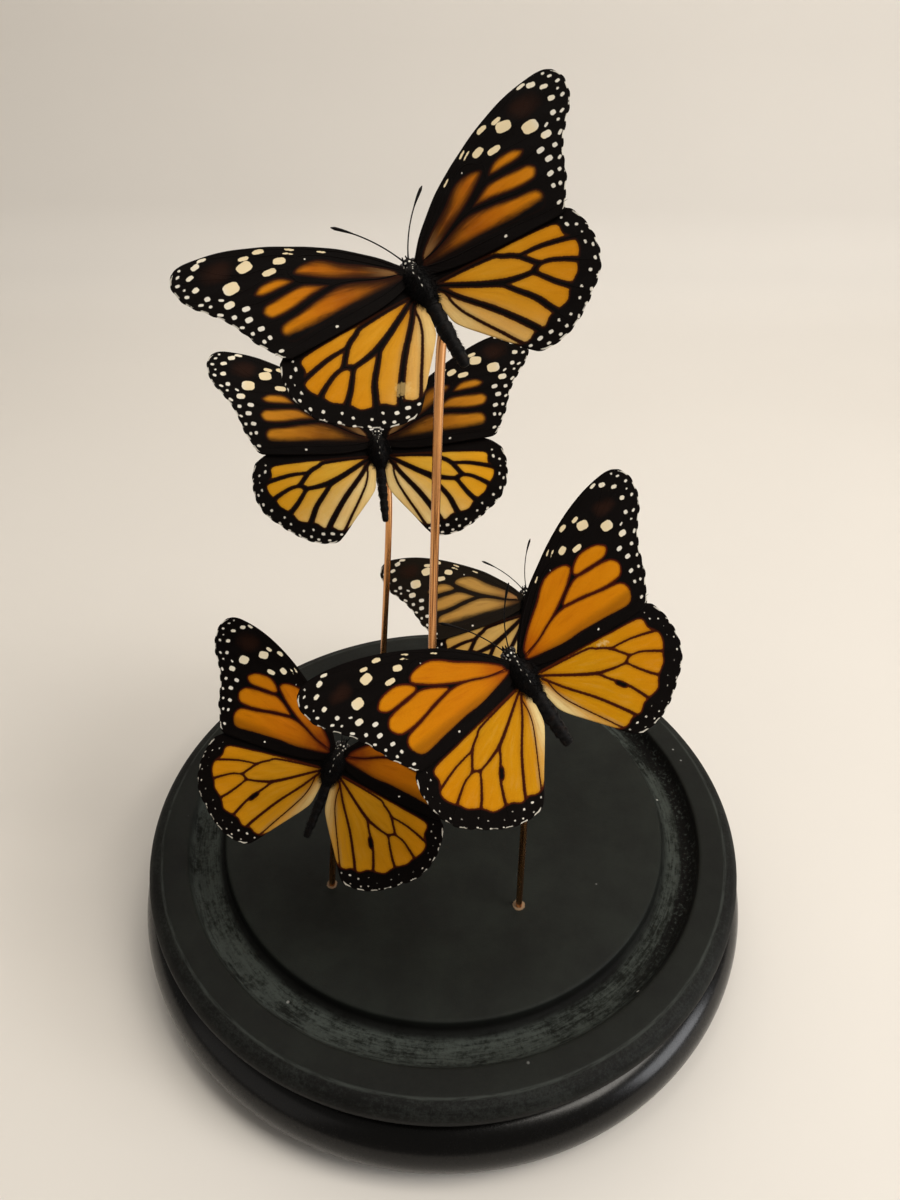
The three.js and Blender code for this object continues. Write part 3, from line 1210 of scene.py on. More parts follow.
@dataclass(frozen=True)
class Vein:
    """A vein drawn on a wing, with its width at both ends."""

    points: list[Point]
    start_width: float
    end_width: float

    def line(self, samples: int = 28) -> tuple[np.ndarray, np.ndarray]:
        """Samples the vein.

        Args:
            samples: How many points.

        Returns:
            The points of its smooth line, and half its width at each of them.
        """
        shares = np.linspace(0, 1, samples)
        halves = (self.start_width + (self.end_width - self.start_width) * shares) / 2
        return smooth_line(self.points, shares), halves


@dataclass(frozen=True)
class WingPlan:
    """Drawing of a right wing from above: x runs out from the hinge and y forwards.

    The margin is scalloped. Counts are the points along the coarse inner part, along the fine
    outer part, which is fine_share of the wing, and across. For baking, the box from bake_low of
    height bake_height and as long as the span is laid flat in the unit square, the upper side in
    the part up to bake_share and the underside above it.
    """

    pair: Pair
    leading: list[Point]
    outer: list[Point]
    trailing: list[Point]
    hinge: Place
    lift: float
    span: float
    ribs: list[Vein]
    white_dots: list[Spot]
    counts: tuple[int, int, int]
    fine_share: float
    scallops: int
    bake_low: Point
    bake_height: float
    bake_share: float
    cream_spots: list[Spot] = field(default_factory=list)
    thickness: float = 0.2
    scallop_depth: float = 0.3
    arch: float = 0.35
    fringe_width: float = 0.48
    rib_points: int = 36

    def sheet(self) -> np.ndarray:
        """Grid of points over the wing as a Coons patch: the two long edges blended across, plus
        the root and the outer margin blended along, less the blend of the four corners. The
        margin is moved inwards by the depth times (1 - cos)/2 at each scallop.

        Returns:
            An array of rows from root to margin, columns from back to front, and x, y.
        """
        coarse, fine, columns = self.counts
        inner = np.linspace(0, 1 - self.fine_share, coarse, endpoint=False)
        u = np.concatenate([inner, np.linspace(1 - self.fine_share, 1, fine)])
        v = np.linspace(0, 1, columns)
        low, high = smooth_line(self.trailing, u), smooth_line(self.leading, u)
        root = v[:, None] * (high[0] - low[0]) + low[0]
        margin = smooth_line(self.outer, v)
        inwards = unit(np.gradient(margin, axis=0)) @ np.array([[0.0, 1.0], [-1.0, 0.0]])
        wave = 0.5 - 0.5 * np.cos(2 * np.pi * self.scallops * v)
        margin = margin + inwards * (self.scallop_depth * wave * np.sin(np.pi * v) ** 0.3)[:, None]
        u, v = u[:, None, None], v[None, :, None]
        inner_end = (1 - v) * low[0] + v * high[0]
        outer_end = (1 - v) * margin[0] + v * margin[-1]
        edges = (1 - v) * low[:, None] + v * high[:, None] + (1 - u) * root[None] + u * margin[None]
        return edges - ((1 - u) * inner_end + u * outer_end)

    def height(self, points: np.ndarray) -> np.ndarray:
        """Height of the middle of the membrane: a low arch along the span, sin(pi x / span), and
        ripples of two sine waves.

        Args:
            points: Rows of x, y.

        Returns:
            One height for each point.
        """
        x, y = points[:, 0], points[:, 1]
        arch = self.arch * np.sin(np.pi * np.clip(x / self.span, 0, 1))
        ripple = 0.05 * np.sin(0.9 * y + 0.35 * x) + 0.04 * np.sin(1.7 * y - 0.5 * x)
        return self.lift + arch - 0.15 + ripple * smooth_step(4, 14, x)

    def ground(self, points: np.ndarray) -> np.ndarray:
        """Distance to the coloured ground, negative on it. Each kind of wing has its own."""
        raise NotImplementedError

    def fringe(self, points: np.ndarray, columns: int) -> np.ndarray:
        """Distance to the white marks of the fringe: a band along the margin, cut by a cosine so
        that it shows only where the scallops dip.

        Args:
            points: Rows of x, y, with the column as the faster index.
            columns: How many columns there are.

        Returns:
            One distance for each point.
        """
        margin = smooth_line(self.outer, np.linspace(0, 1, 90))
        gap = distance_to_line(points, margin, np.zeros(len(margin)))
        v = np.tile(np.linspace(0, 1, columns), len(points) // columns)
        wave = np.cos(2 * np.pi * self.scallops * v)
        return np.maximum(gap - self.fringe_width, 0.35 * (wave + 0.05))

    def laid_flat(self, points: np.ndarray, underside: bool = False) -> np.ndarray:
        """Places points of the drawing in the unit square for baking.

        Args:
            points: Rows of x, y.
            underside: Whether they are on the underside, which is laid out smaller.

        Returns:
            Rows of u, v.
        """
        room = 0.98 - self.bake_share if underside else self.bake_share
        scale = min(0.99 / (self.span + 3), room / self.bake_height)
        corner = [0.005, self.bake_share + 0.01 if underside else 0.005]
        return (points - np.array(self.bake_low)) * scale + corner

    def marks(self, points: np.ndarray, worn: list[Spot]) -> dict[str, np.ndarray]:
        """What the wing's finish reads at each point.

        Args:
            points: Rows of x, y.
            worn: Places where the scales have rubbed off.

        Returns:
            The place in the drawing, and the distances to the ground and to each kind of spot.
        """
        return {
            "plan": np.column_stack([points, np.zeros(len(points))]),
            "ground": self.ground(points),
            "cream": distance_to_spots(points, self.cream_spots),
            "white": distance_to_spots(points, self.white_dots),
            "worn": distance_to_spots(points, worn),
        }

    def membrane(self, side: Side, place: Placer, worn: list[Spot]) -> Patch:
        """The wing's skin: an upper and a lower sheet half its thickness from the middle, which
        share the points of the rim.

        Args:
            side: Left or right.
            place: Takes points drawn on the wing to millimetres in the frame.
            worn: Places where the scales have rubbed off.

        Returns:
            The closed skin.
        """
        sheet = self.sheet()
        rows, columns = sheet.shape[:2]
        plan = sheet.reshape(-1, 2)
        top = np.arange(rows * columns).reshape(rows, columns)
        inner = top[1:-1, 1:-1].ravel()
        under = top.copy()
        under[1:-1, 1:-1] = rows * columns + np.arange(len(inner)).reshape(rows - 2, columns - 2)
        middle = self.height(plan)
        raised = middle.copy()
        raised[inner] += self.thickness / 2
        upper = np.column_stack([plan, raised])
        lower = np.column_stack([plan[inner], middle[inner] - self.thickness / 2])
        mirrored = side is Side.LEFT
        faces = [grid_faces(top, mirrored), grid_faces(under, not mirrored)]
        marks = {**self.marks(plan, worn), "fringe": self.fringe(plan, columns)}
        marks = {key: np.concatenate([value, value[inner]]) for key, value in marks.items()}
        corners = [marks["plan"][np.ravel(half), :2] for half in faces]
        flat = np.vstack([self.laid_flat(corners[0]), self.laid_flat(corners[1], underside=True)])
        underside = {"underside": np.repeat([0.0, 1.0], len(faces[0]))}
        return Patch(place(np.vstack([upper, lower])), faces[0] + faces[1], marks, underside, flat)

    def rib(self, vein: Vein, side: Side, place: Placer, worn: list[Spot]) -> Patch:
        """A raised vein: a tube 0.6 times as high as it is wide, sunk into the membrane's top.

        Args:
            vein: Its line and widths.
            side: Left or right.
            place: Takes points drawn on the wing to millimetres in the frame.
            worn: Places where the scales have rubbed off.

        Returns:
            The rib, marked like the membrane under it but never as coloured ground.
        """
        line, halves = vein.line(self.rib_points)
        path = np.column_stack([line, self.height(line) + self.thickness / 2 - 0.02])
        steps = np.arange(self.rib_points)
        taper = np.sqrt(np.clip(np.minimum(steps, steps[::-1]) / 3, 0.05, 1))
        rib = tube(path, np.maximum(halves * 0.62, 0.12) * taper, 8, (0, 0, 1), 0.6)
        if side is Side.LEFT:
            rib.faces = [face[::-1] for face in rib.faces]
        plan = rib.vertices[:, :2]
        rib.flat = self.laid_flat(plan[np.concatenate(rib.faces)])
        rib.marks = self.marks(plan, worn)
        rib.marks["ground"] = np.maximum(rib.marks["ground"], 0.3)
        rib.vertices = place(rib.vertices)
        return rib

    def build(self, side: Side, place: Placer, worn: list[Spot]) -> list[Patch]:
        """Makes the membrane and its ribs, on one side of the body, as the patches of one wing."""
        ribs = [self.rib(vein, side, place, worn) for vein in self.ribs]
        return [self.membrane(side, place, worn), *ribs]


@dataclass(frozen=True)
class ForewingPlan(WingPlan):
    """The forewing: four orange cells between black veins, cream spots across a black tip."""

    cells: tuple[list[Point], ...] = ()
    droop: float = 0.34

    def ground(self, points: np.ndarray) -> np.ndarray:
        """Distance to the nearest orange cell, negative inside it."""
        return np.min([distance_to_shape(points, cell) for cell in self.cells], axis=0)

    def height(self, points: np.ndarray) -> np.ndarray:
        """The common arch, less a droop that rests the rear edge on the hindwing."""
        return super().height(points) - self.droop * smooth_step(3, -4, points[:, 1])


@dataclass(frozen=True)
class HindwingPlan(WingPlan):
    """The hindwing: an amber field cut by thin black veins inside a broad black margin."""

    amber: list[Point] = field(default_factory=list)
    veins: list[Vein] = field(default_factory=list)
    scent_spot: Spot | None = None

    def ground(self, points: np.ndarray) -> np.ndarray:
        """Distance to the amber between the veins: the rounded least of the distances to the
        black margin and to each vein, with its sign turned.

        Args:
            points: Rows of x, y.

        Returns:
            One distance for each point, negative on the amber.
        """
        dark = [-distance_to_shape(points, self.amber, 110)]
        dark += [distance_to_line(points, *vein.line()) for vein in self.veins]
        if self.scent_spot:
            dark.append(distance_to_spots(points, [self.scent_spot]))
        return -soft_least(dark, 0.16)


FOREWING_RIBS = [
    Vein([(-0.5, 1.9), (5, 8.3), (12, 13.9), (20, 18.7), (28, 22.1)], 0.9, 0.4),
    Vein([(-0.5, 1.4), (5, 6.3), (10, 10.6), (15, 14.2), (18.5, 15.3), (21.4, 13.4)], 0.8, 0.5),
    Vein([(18.5, 15.3), (22, 17.9), (25.6, 19.4), (28.6, 21.5), (33, 23.3), (36, 24.4)], 0.5, 0.3),
    Vein([(21.4, 13.4), (26, 15.9), (29.8, 16.6), (34, 18.7), (37.6, 22), (40, 24.6)], 0.5, 0.3),
    Vein([(29.8, 16.6), (34, 17.6), (39, 20), (44.4, 21.3)], 0.4, 0.3),
    Vein([(21.4, 13.4), (21.8, 12.2), (21.3, 10.8), (20.7, 9.3), (17.6, 7.7), (14.6, 5.4)], 0.5, 0.4),
    Vein([(21.8, 12.2), (25, 13.5), (29, 13.25), (34, 13.1), (39.4, 14.1), (44.6, 16.6)], 0.4, 0.3),
    Vein([(20.7, 9.2), (26, 8.95), (31.5, 9.0), (40, 11.3)], 0.5, 0.3),
    Vein([(-0.5, 0.6), (5, 1.8), (10, 3.9), (14.8, 5.0), (20, 4.0), (27, 2.8), (36.6, 4.4)], 0.7, 0.3),
    Vein([(-0.5, -0.4), (6, -2.0), (14, -2.9), (22, -3.5), (29, -4.4), (33.4, -4.4)], 0.7, 0.3),
]

FOREWING_EDGES = {
    "leading": [(-0.9, 2.2), (2, 6), (5, 9), (10, 13.4), (15, 16.6), (20, 19.5), (25, 21.9), (30, 23.8),
                (35, 25.1), (40, 25.7), (42.6, 25.4), (44.3, 24.4)],
    "outer": [(31.6, -6.2), (32.6, -5.2), (34, -2.6), (35.7, 0.2), (37, 3.8), (38.6, 7.4), (41, 11),
              (43.6, 14.2), (45.2, 17.5), (45.7, 21.2), (45.2, 23.2), (44.3, 24.4)],
    "trailing": [(-0.9, -1.8), (2, -3.2), (8, -4.8), (16, -5.8), (25, -6.4), (30, -6.6), (31.6, -6.2)],
}

FOREWING_CELLS = (
    [(1, 0.2), (1.4, 2.1), (5, 5.5), (10, 9.2), (12.6, 11.5), (15, 13), (18, 13.4), (20.5, 12.8),
     (21.2, 11.7), (19.9, 10.3), (16.8, 8), (12.6, 5.5), (8.5, 3.6), (5, 1.9), (1.4, 0.7)],
    [(21.4, 9.8), (22.6, 11.7), (25.1, 12.9), (28.5, 12.75), (30.5, 11.7), (31, 10.7), (29.3, 9.4),
     (25.1, 9.4)],
    [(15.1, 5.5), (18.5, 7.75), (21, 8.7), (25.1, 8.4), (29.3, 8), (31, 6.9), (31.4, 5.5),
     (30.5, 3.8), (28.9, 3.2), (25.1, 3.4), (20, 4.5), (16, 5.1)],
    [(0.5, 0), (5.5, 1.7), (10, 3.6), (13.5, 4.5), (16.8, 4.2), (21, 3.4), (25.1, 2.5),
     (28.5, 1.9), (29.8, 0.9), (30.1, -0.8), (29.3, -2.9), (28, -3.7), (26.4, -3.6), (21, -2.9),
     (15, -2.4), (10, -2.25), (5, -1.4), (1.4, -0.6)],
)

CREAM_SPOTS = [
    (29.5, 18.35, 3.7, 2.8, -8), (28.7, 20.45, 2.6, 1.1, 12), (34.3, 14.9, 3.8, 3.1, -4),
    (36.4, 11.3, 2.4, 1.8, 0), (22.1, 16.2, 3.0, 1.9, 20), (25.3, 14.6, 3.3, 1.6, 3),
    (25.1, 20.5, 2.7, 1.3, 18), (18.9, 17.8, 2.4, 0.6, 36), (19.6, 17.0, 2.8, 0.4, 34),
    (13.0, 14.0, 2.3, 0.45, 36), (36.9, 24.6, 2.4, 0.75, 8), (38.8, 23.6, 2.1, 1.5, -12),
    (41.0, 21.6, 1.9, 1.2, -12), (41.2, 18.3, 1.7, 1.3, -12),
]

FOREWING_DOTS = [
    (39.9, 15.0, 1.35, 1.3, 0), (41.7, 14.3, 1.3, 0.75, 25), (40.1, 12.9, 0.85, 0.8, 0),
    (37.4, 13.3, 1.3, 0.65, 32), (39.1, 10.1, 1.5, 0.75, 38), (33.7, 8.7, 1.9, 1.3, 5),
    (36.8, 8.0, 1.2, 1.15, 0), (34.3, 6.0, 1.8, 1.4, 0), (36.4, 5.0, 1.2, 0.75, 30),
    (33.0, 2.7, 1.6, 1.2, 10), (35.1, 2.5, 0.9, 0.95, 0), (32.3, 0.0, 0.95, 1.15, 0),
    (33.8, -0.3, 0.85, 1.0, 0), (31.6, -4.0, 1.2, 0.9, 15), (42.2, 24.5, 0.85, 0.6, 0),
    (43.2, 23.2, 1.15, 0.75, -10), (44.1, 21.1, 1.2, 0.8, 5), (43.3, 19.5, 0.7, 0.65, 0),
    (43.5, 17.6, 1.15, 0.85, 18), (18.6, -4.4, 0.8, 0.7, 0), (17.0, 14.0, 0.6, 0.5, 0),
]


def resized(spots: list[Spot], share: float) -> list[Spot]:
    """The same spots with their lengths and widths multiplied by share."""
    return [(x, y, length * share, width * share, slant) for x, y, length, width, slant in spots]


def forewing_plan(sex: Sex) -> ForewingPlan:
    """The forewing with the spots of one sex.

    Args:
        sex: Females have larger spots.

    Returns:
        The plan.
    """
    share = 0.76 if sex is Sex.MALE else 0.94
    return ForewingPlan(
        pair=Pair.FORE,
        **FOREWING_EDGES,
        hinge=(2.34, 1.76, 0.84),
        lift=0.5,
        span=46.0,
        ribs=FOREWING_RIBS,
        white_dots=resized(FOREWING_DOTS, share),
        counts=(118, 11, 96),
        fine_share=0.035,
        scallops=9,
        bake_low=(-1.5, -7.5),
        bake_height=34.5,
        bake_share=0.7,
        cream_spots=resized(CREAM_SPOTS, share),
        cells=FOREWING_CELLS,
    )


HINDWING_EDGES = {
    "leading": [(-0.6, 1.0), (1.5, 2.2), (6, 4), (14, 5), (22, 5), (29, 4), (33, 1.8), (33.8, 1.0)],
    "outer": [(16.2, -25.3), (17.8, -25.5), (21.5, -24.8), (25, -23.1), (28.2, -20.6), (31.2, -17.6),
              (33.8, -14.6), (35.3, -11), (35.8, -7.5), (35.5, -4), (34.8, -1), (33.8, 1.0)],
    "trailing": [(-0.6, -2.4), (0.7, -7.5), (1.6, -10.5), (3.3, -12.8), (6.5, -16.1), (10, -19.6),
                 (13, -22.8), (15.2, -24.8), (16.2, -25.3)],
}

AMBER_FIELD = [
    (0.2, -1.0), (6, -0.4), (14, -0.2), (22, -0.2), (29, -0.5), (29.8, -3.2), (31.5, -5.3),
    (31.7, -7.4), (30.8, -9.5), (30, -10.8), (29.4, -12.4), (27.5, -14.1), (26.3, -15.5),
    (25.2, -17.4), (22.5, -18.3), (20.6, -18.9), (19, -20.5), (17.5, -20.7), (16.3, -20.7),
    (15.2, -21.6), (13.2, -21.9), (10.4, -20.1), (6.4, -16.2), (2.9, -12.7), (1.2, -10), (0.2, -5),
]

HINDWING_LINES = [
    [(2.0, -0.6), (8, -0.6), (14.7, -0.9), (16, -1.6), (19, -3), (21, -5), (22.8, -7)],
    [(22.8, -7), (21.3, -8.2)],
    [(21.3, -8.3), (18, -8), (14.3, -7.4)],
    [(19.3, -3.4), (25, -3.6), (31.5, -4.8), (34.6, -5.4)],
    [(22.8, -7.1), (25.5, -7.5), (28, -8.6), (30, -9.7), (34, -12)],
    [(21.3, -8.3), (23, -10.5), (25, -12.8), (27, -14.7), (30, -17.5)],
    [(0.5, -1.0), (2.2, -1.6), (6, -3.5), (10, -5.5), (14, -7.3)],
    [(14, -7.3), (15.5, -9.3), (17.5, -11.5), (19.5, -13.8), (21, -16.3), (22.2, -18.5), (24, -22)],
    [(1.5, -2.2), (2.5, -3.2), (5, -6.2), (10, -11.3), (13.5, -15.3), (17.3, -20.3), (19, -23.8)],
    [(1.5, -2.2), (2.2, -3), (3, -6.5), (4.5, -9.7), (7, -13.3), (10, -17.4), (12.3, -20.6), (14, -22.8)],
]

HINDWING_WIDTHS = (0.9, 1, 1.1, 0.95, 0.95, 1.1, 1.15, 1.15, 1.15, 0.5)  # shares of a vein's width

HINDWING_DOTS = [
    (30.9, 0.4, 0.75, 0.7, 0), (31.4, -1.6, 0.85, 1.3, 15), (33.2, -2.5, 0.85, 0.95, 0),
    (33.6, -4.6, 0.6, 0.65, 0), (33.4, -7.0, 0.7, 1.2, 0), (34.6, -8.3, 0.65, 1.1, -12),
    (33.9, -11.3, 0.75, 1.15, 0), (32.0, -13.3, 0.95, 1.0, 0), (32.9, -15.0, 0.7, 0.6, 0),
    (30.6, -17.4, 0.8, 1.1, -25), (29.0, -15.9, 0.75, 0.9, 0), (27.7, -18.1, 0.75, 0.9, 0),
    (28.5, -19.8, 0.95, 0.65, 20), (26.0, -21.8, 0.6, 1.15, -25), (24.7, -20.6, 0.85, 0.9, 0),
    (22.0, -20.7, 0.75, 1.0, -15), (23.0, -22.6, 0.9, 0.85, 0), (21.2, -23.7, 0.95, 0.8, 10),
    (19.6, -22.3, 1.25, 1.05, 15), (17.0, -22.6, 1.55, 1.05, 20), (18.3, -24.4, 1.2, 0.7, 8),
    (14.6, -23.2, 1.0, 0.8, 0),
]


def hindwing_plan(sex: Sex) -> HindwingPlan:
    """The hindwing with the veins of one sex.

    Args:
        sex: Males have thin veins and a scent spot, females broad veins and brighter dots.

    Returns:
        The plan.
    """
    male = sex is Sex.MALE
    width = 0.54 if male else 1.1
    return HindwingPlan(
        pair=Pair.HIND,
        **HINDWING_EDGES,
        hinge=(1.92, -2.56, 0.66),
        lift=-0.42,
        span=36.0,
        ribs=[Vein(line, 0.5, 0.34) for line in HINDWING_LINES],
        white_dots=resized(HINDWING_DOTS, 0.52 if male else 0.84),
        counts=(84, 11, 100),
        fine_share=0.045,
        scallops=10,
        bake_low=(-1.5, -27.0),
        bake_height=33.5,
        bake_share=0.72,
        amber=AMBER_FIELD,
        veins=[
            Vein(line, width * share, width * share * 1.5)
            for line, share in zip(HINDWING_LINES, HINDWING_WIDTHS)
        ],
        scent_spot=(17.9, -12.3, 3.4, 1.5, -50) if male else None,
    )


# ---------------------------------------------------------------- butterflies


@dataclass
class Trunk:
    """Head, thorax and abdomen along Y, with eyes, hair, legs and antennae. A station is a place
    along the body with its half width, half height and the height of its centre."""

    stations: tuple[tuple[float, float, float, float], ...] = (
        (-22.7, 0.0, 0.0, -2.25), (-22.55, 0.85, 0.6, -2.25), (-21.7, 1.3, 1.0, -2.2),
        (-19.6, 1.45, 1.3, -2.05), (-16, 1.65, 1.55, -1.8), (-12, 1.85, 1.75, -1.5),
        (-8.4, 2.05, 1.95, -1.15), (-6.2, 2.3, 2.25, -0.85), (-4.2, 2.9, 2.75, -0.6),
        (-1.6, 3.2, 3.05, -0.45), (0.8, 3.1, 2.9, -0.5), (2.8, 2.3, 2.1, -0.7),
        (3.7, 1.6, 1.4, -0.85), (4.3, 1.65, 1.35, -0.82), (5.1, 1.6, 1.3, -0.8),
        (5.9, 1.05, 0.95, -0.8), (6.4, 0.0, 0.0, -0.8),
    )
    segment_edges: tuple[float, ...] = (-7.4, -9.6, -11.8, -14.0, -16.1, -18.1, -19.9, -21.3)
    head_dots: tuple[Place, ...] = (
        (0.55, 5.75, -0.1), (0.5, 4.75, 0.42), (1.25, 4.3, 0.05), (0.75, 3.6, 0.5), (1.6, 3.3, 0.2),
        (1.15, 5.5, -0.35),
    )
    back_marks: tuple[Place, ...] = (
        (0.4, 2.4, 1.6), (0.15, 1.7, 2.0), (-0.25, 0.4, 2.45), (0.3, -1.4, 2.6), (0.05, -3.2, 2.4),
    )
    leg_paths: tuple[tuple[Place, ...], ...] = (
        ((0.9, 0.9, -2.6), (1.7, 2.9, -4.2), (1.2, 0.9, -5.4), (0.9, -1.6, -5.9)),
        ((0.9, -1.3, -2.6), (2.3, -1.0, -4.9), (1.6, -3.6, -5.3), (1.2, -6.4, -5.2)),
        ((0.9, -3.2, -2.6), (2.0, -4.6, -4.6), (1.5, -7.6, -4.6), (1.2, -10.4, -4.4)),
    )
    palp_path: tuple[Place, ...] = ((0.35, 5.6, -1.4), (0.45, 6.5, -0.9), (0.4, 6.9, -0.2))
    antenna_root: Place = (0.6, 5.7, 0.0)
    antenna_length: float = 17.4
    antenna_bow: float = 1.1
    antenna_radii: tuple[Point, ...] = (
        (0, 0.24), (0.03, 0.2), (0.1, 0.16), (0.7, 0.16), (0.86, 0.34), (0.95, 0.38), (1, 0.1),
    )
    tail: float = -22.7
    length: float = 29.0
    girth: float = 1.0
    rings: int = 210
    sides: int = 84
    hairs: int = 4200
    hair_width: float = 0.05

    def section(self, y: np.ndarray) -> tuple[np.ndarray, np.ndarray, np.ndarray]:
        """Sizes of the body along its length. Between stations they follow a smooth curve, the
        abdomen is scaled by girth and shrunk unevenly by two sine waves, and each of its segments
        ends in a shallow groove exp(-(distance/0.28)^2).

        Args:
            y: Places along the body.

        Returns:
            Half width, half height and centre height at each place.
        """
        rows = np.array(self.stations)
        curve = smooth_line(rows, np.linspace(0, 1, 400))
        order = np.argsort(curve[:, 0])
        width, height, middle = (np.interp(y, curve[order, 0], curve[order, i]) for i in (1, 2, 3))
        gaps = (y[:, None] - np.array(self.segment_edges)) / 0.28
        share = 1 - 0.07 * np.exp(-(gaps**2)).sum(axis=1)
        dried = 0.06 * np.sin(1.3 * y + 0.4) + 0.04 * np.sin(2.9 * y)
        share *= 1 + (self.girth - 1 + dried) * smooth_step(-4.5, -8.5, y)
        return np.maximum(width, 0) * share, np.maximum(height, 0) * share, middle

    def skin(self) -> Patch:
        """The closed skin, (width cos a, y, middle + height sin a), with rings closer at the ends.

        Returns:
            The skin with its white dots marked.
        """
        share = np.linspace(0, 1, self.rings)
        y = self.tail + self.length * (share - 0.012 * np.sin(2 * np.pi * share))
        width, height, middle = (values[:, None] for values in self.section(y))
        angle = np.linspace(0, 2 * np.pi, self.sides, endpoint=False)
        x, z = width * np.cos(angle), middle + height * np.sin(angle)
        rings = np.stack([x, np.repeat(y[:, None], self.sides, axis=1), z], axis=-1)
        ends = np.array([[0, y[0], middle[0, 0]], [0, y[-1], middle[-1, 0]]])
        skin = closed_rings(rings[1:-1], ends)
        skin.marks["dots"] = self.dots(skin.vertices)
        return skin

    def dots(self, points: np.ndarray) -> np.ndarray:
        """Distance to the paired white dots on the head and the long marks on the thorax, which
        are measured with each axis scaled.

        Args:
            points: Rows of x, y, z.

        Returns:
            One distance for each point, negative inside a dot.
        """
        folded = np.column_stack([np.abs(points[:, 0]), points[:, 1:]])
        pairs = np.linalg.norm(folded[:, None] - np.array(self.head_dots), axis=-1).min(axis=1)
        stretched = (points[:, None] - np.array(self.back_marks)) * [1.7, 0.5, 0.8]
        single = np.linalg.norm(stretched, axis=-1).min(axis=1)
        return np.minimum(pairs - 0.27, single - 0.22)

    def hair(self, seed: int) -> Patch:
        """Short hairs, most of them on the thorax and head, each a thin closed spike from the skin
        outwards, leaning back, with its tip set a little further back.

        Args:
            seed: Start of the random numbers.

        Returns:
            All the hairs as one patch.
        """
        draw = np.random.default_rng(seed)
        count = self.hairs
        in_front = draw.random(count) < 0.78
        y = np.where(in_front, draw.uniform(-7.0, 3.9, count), draw.uniform(-22.3, 5.6, count))
        angle = draw.uniform(0, 2 * np.pi, count)
        width, height, middle = self.section(y)
        root = np.column_stack([width * np.cos(angle), y, middle + height * np.sin(angle)])
        leaning = np.column_stack([np.cos(angle), np.full(count, -0.8), np.sin(angle) * 0.7])
        out = unit(leaning + draw.normal(0, 0.25, (count, 3)))
        long = draw.uniform(0.3, 0.8, count) + 1.2 * np.abs(np.cos(angle)) * draw.random(count)
        on_thorax = (y > -7) & (y < 2.6)
        length = np.where(on_thorax, long, draw.uniform(0.25, 0.55, count))
        side = unit(np.cross(out, draw.normal(0, 1, (count, 3))))
        other = np.cross(out, side)
        thirds = np.radians([0, 120, 240])
        round_foot = [math.cos(a) * side + math.sin(a) * other for a in thirds]
        foot = root - self.hair_width * out
        tip = root + out * length[:, None] + [0, -0.12, 0]
        base = [foot + self.hair_width * spoke for spoke in round_foot]
        vertices = np.stack([*base, tip], axis=1).reshape(-1, 3)
        start = np.arange(count)[:, None, None] * 4
        spike = np.array([[0, 1, 3], [1, 2, 3], [2, 0, 3], [0, 2, 1]])
        return Patch(vertices, (start + spike).reshape(-1, 3).tolist())

    def legs(self, side: Side) -> list[Patch]:
        """Three jointed legs of one side, folded under the thorax.

        Args:
            side: Left or right.

        Returns:
            The legs, from front to back.
        """
        share = np.linspace(0, 1, 26)
        radii = np.interp(share, [0, 0.35, 0.7, 1], [0.26, 0.2, 0.14, 0.1])
        mirror = [side.value, 1, 1]
        paths = [smooth_line(np.array(path) * mirror, share) for path in self.leg_paths]
        return [tube(path, radii, 8, (0.9, 0.1, 0.3)) for path in paths]

    def palp(self, side: Side) -> Patch:
        """The short feeler beside the tongue on one side."""
        path = smooth_line(np.array(self.palp_path) * [side.value, 1, 1], np.linspace(0, 1, 12))
        return tube(path, np.linspace(0.3, 0.12, 12), 8, (1, 0, 0))

    def tongue(self) -> Patch:
        """The coiled tongue: (0, r sin a, r cos a) with r shrinking as a grows over 2.4 turns.

        Returns:
            The tongue.
        """
        angle = np.linspace(0, 2.4 * 2 * np.pi, 60)
        reach = 0.85 - 0.11 * angle / np.pi
        coil = np.column_stack([np.zeros(60), 6.1 + reach * np.sin(angle), -2.2 + reach * np.cos(angle)])
        return tube(coil, np.full(60, 0.09), 8, (1, 0, 0))

    def eyes(self) -> list[Patch]:
        """Two bulging eyes on the sides of the head.

        Returns:
            The eyes, in the second material.
        """
        pair = [ellipsoid((side.value * 1.35, 4.9, -0.75), (0.78, 0.9, 0.95)) for side in Side]
        for eye in pair:
            eye.material = 1
        return pair

    def body(self, seed: int) -> list[Patch]:
        """Everything of the body but the antennae, with hair drawn from the seed."""
        limbs = [limb for side in Side for limb in (*self.legs(side), self.palp(side))]
        return [self.skin(), *self.eyes(), self.hair(seed), *limbs, self.tongue()]

    def antenna(self, side: Side, outwards: float, upwards: float) -> Patch:
        """A thin rod with a club at its end, length s along it and bow 4 s (1 - s) across.

        Args:
            side: Left or right.
            outwards: Degrees away from the body's line.
            upwards: Degrees above it.

        Returns:
            The antenna.
        """
        share = np.linspace(0, 1, 60)
        bow = -side.value * self.antenna_bow * 4 * share * (1 - share)
        path = np.column_stack([bow, self.antenna_length * share, np.zeros(60)])
        rod = tube(path, np.interp(share, *zip(*self.antenna_radii)), 10, (0, 0, 1))
        rod.marks["dots"] = np.full(len(rod.vertices), FAR)
        matrix = turn("z", -side.value * outwards) @ turn("x", upwards)
        return rod.moved(matrix, np.array(self.antenna_root) * [side.value, 1, 1])


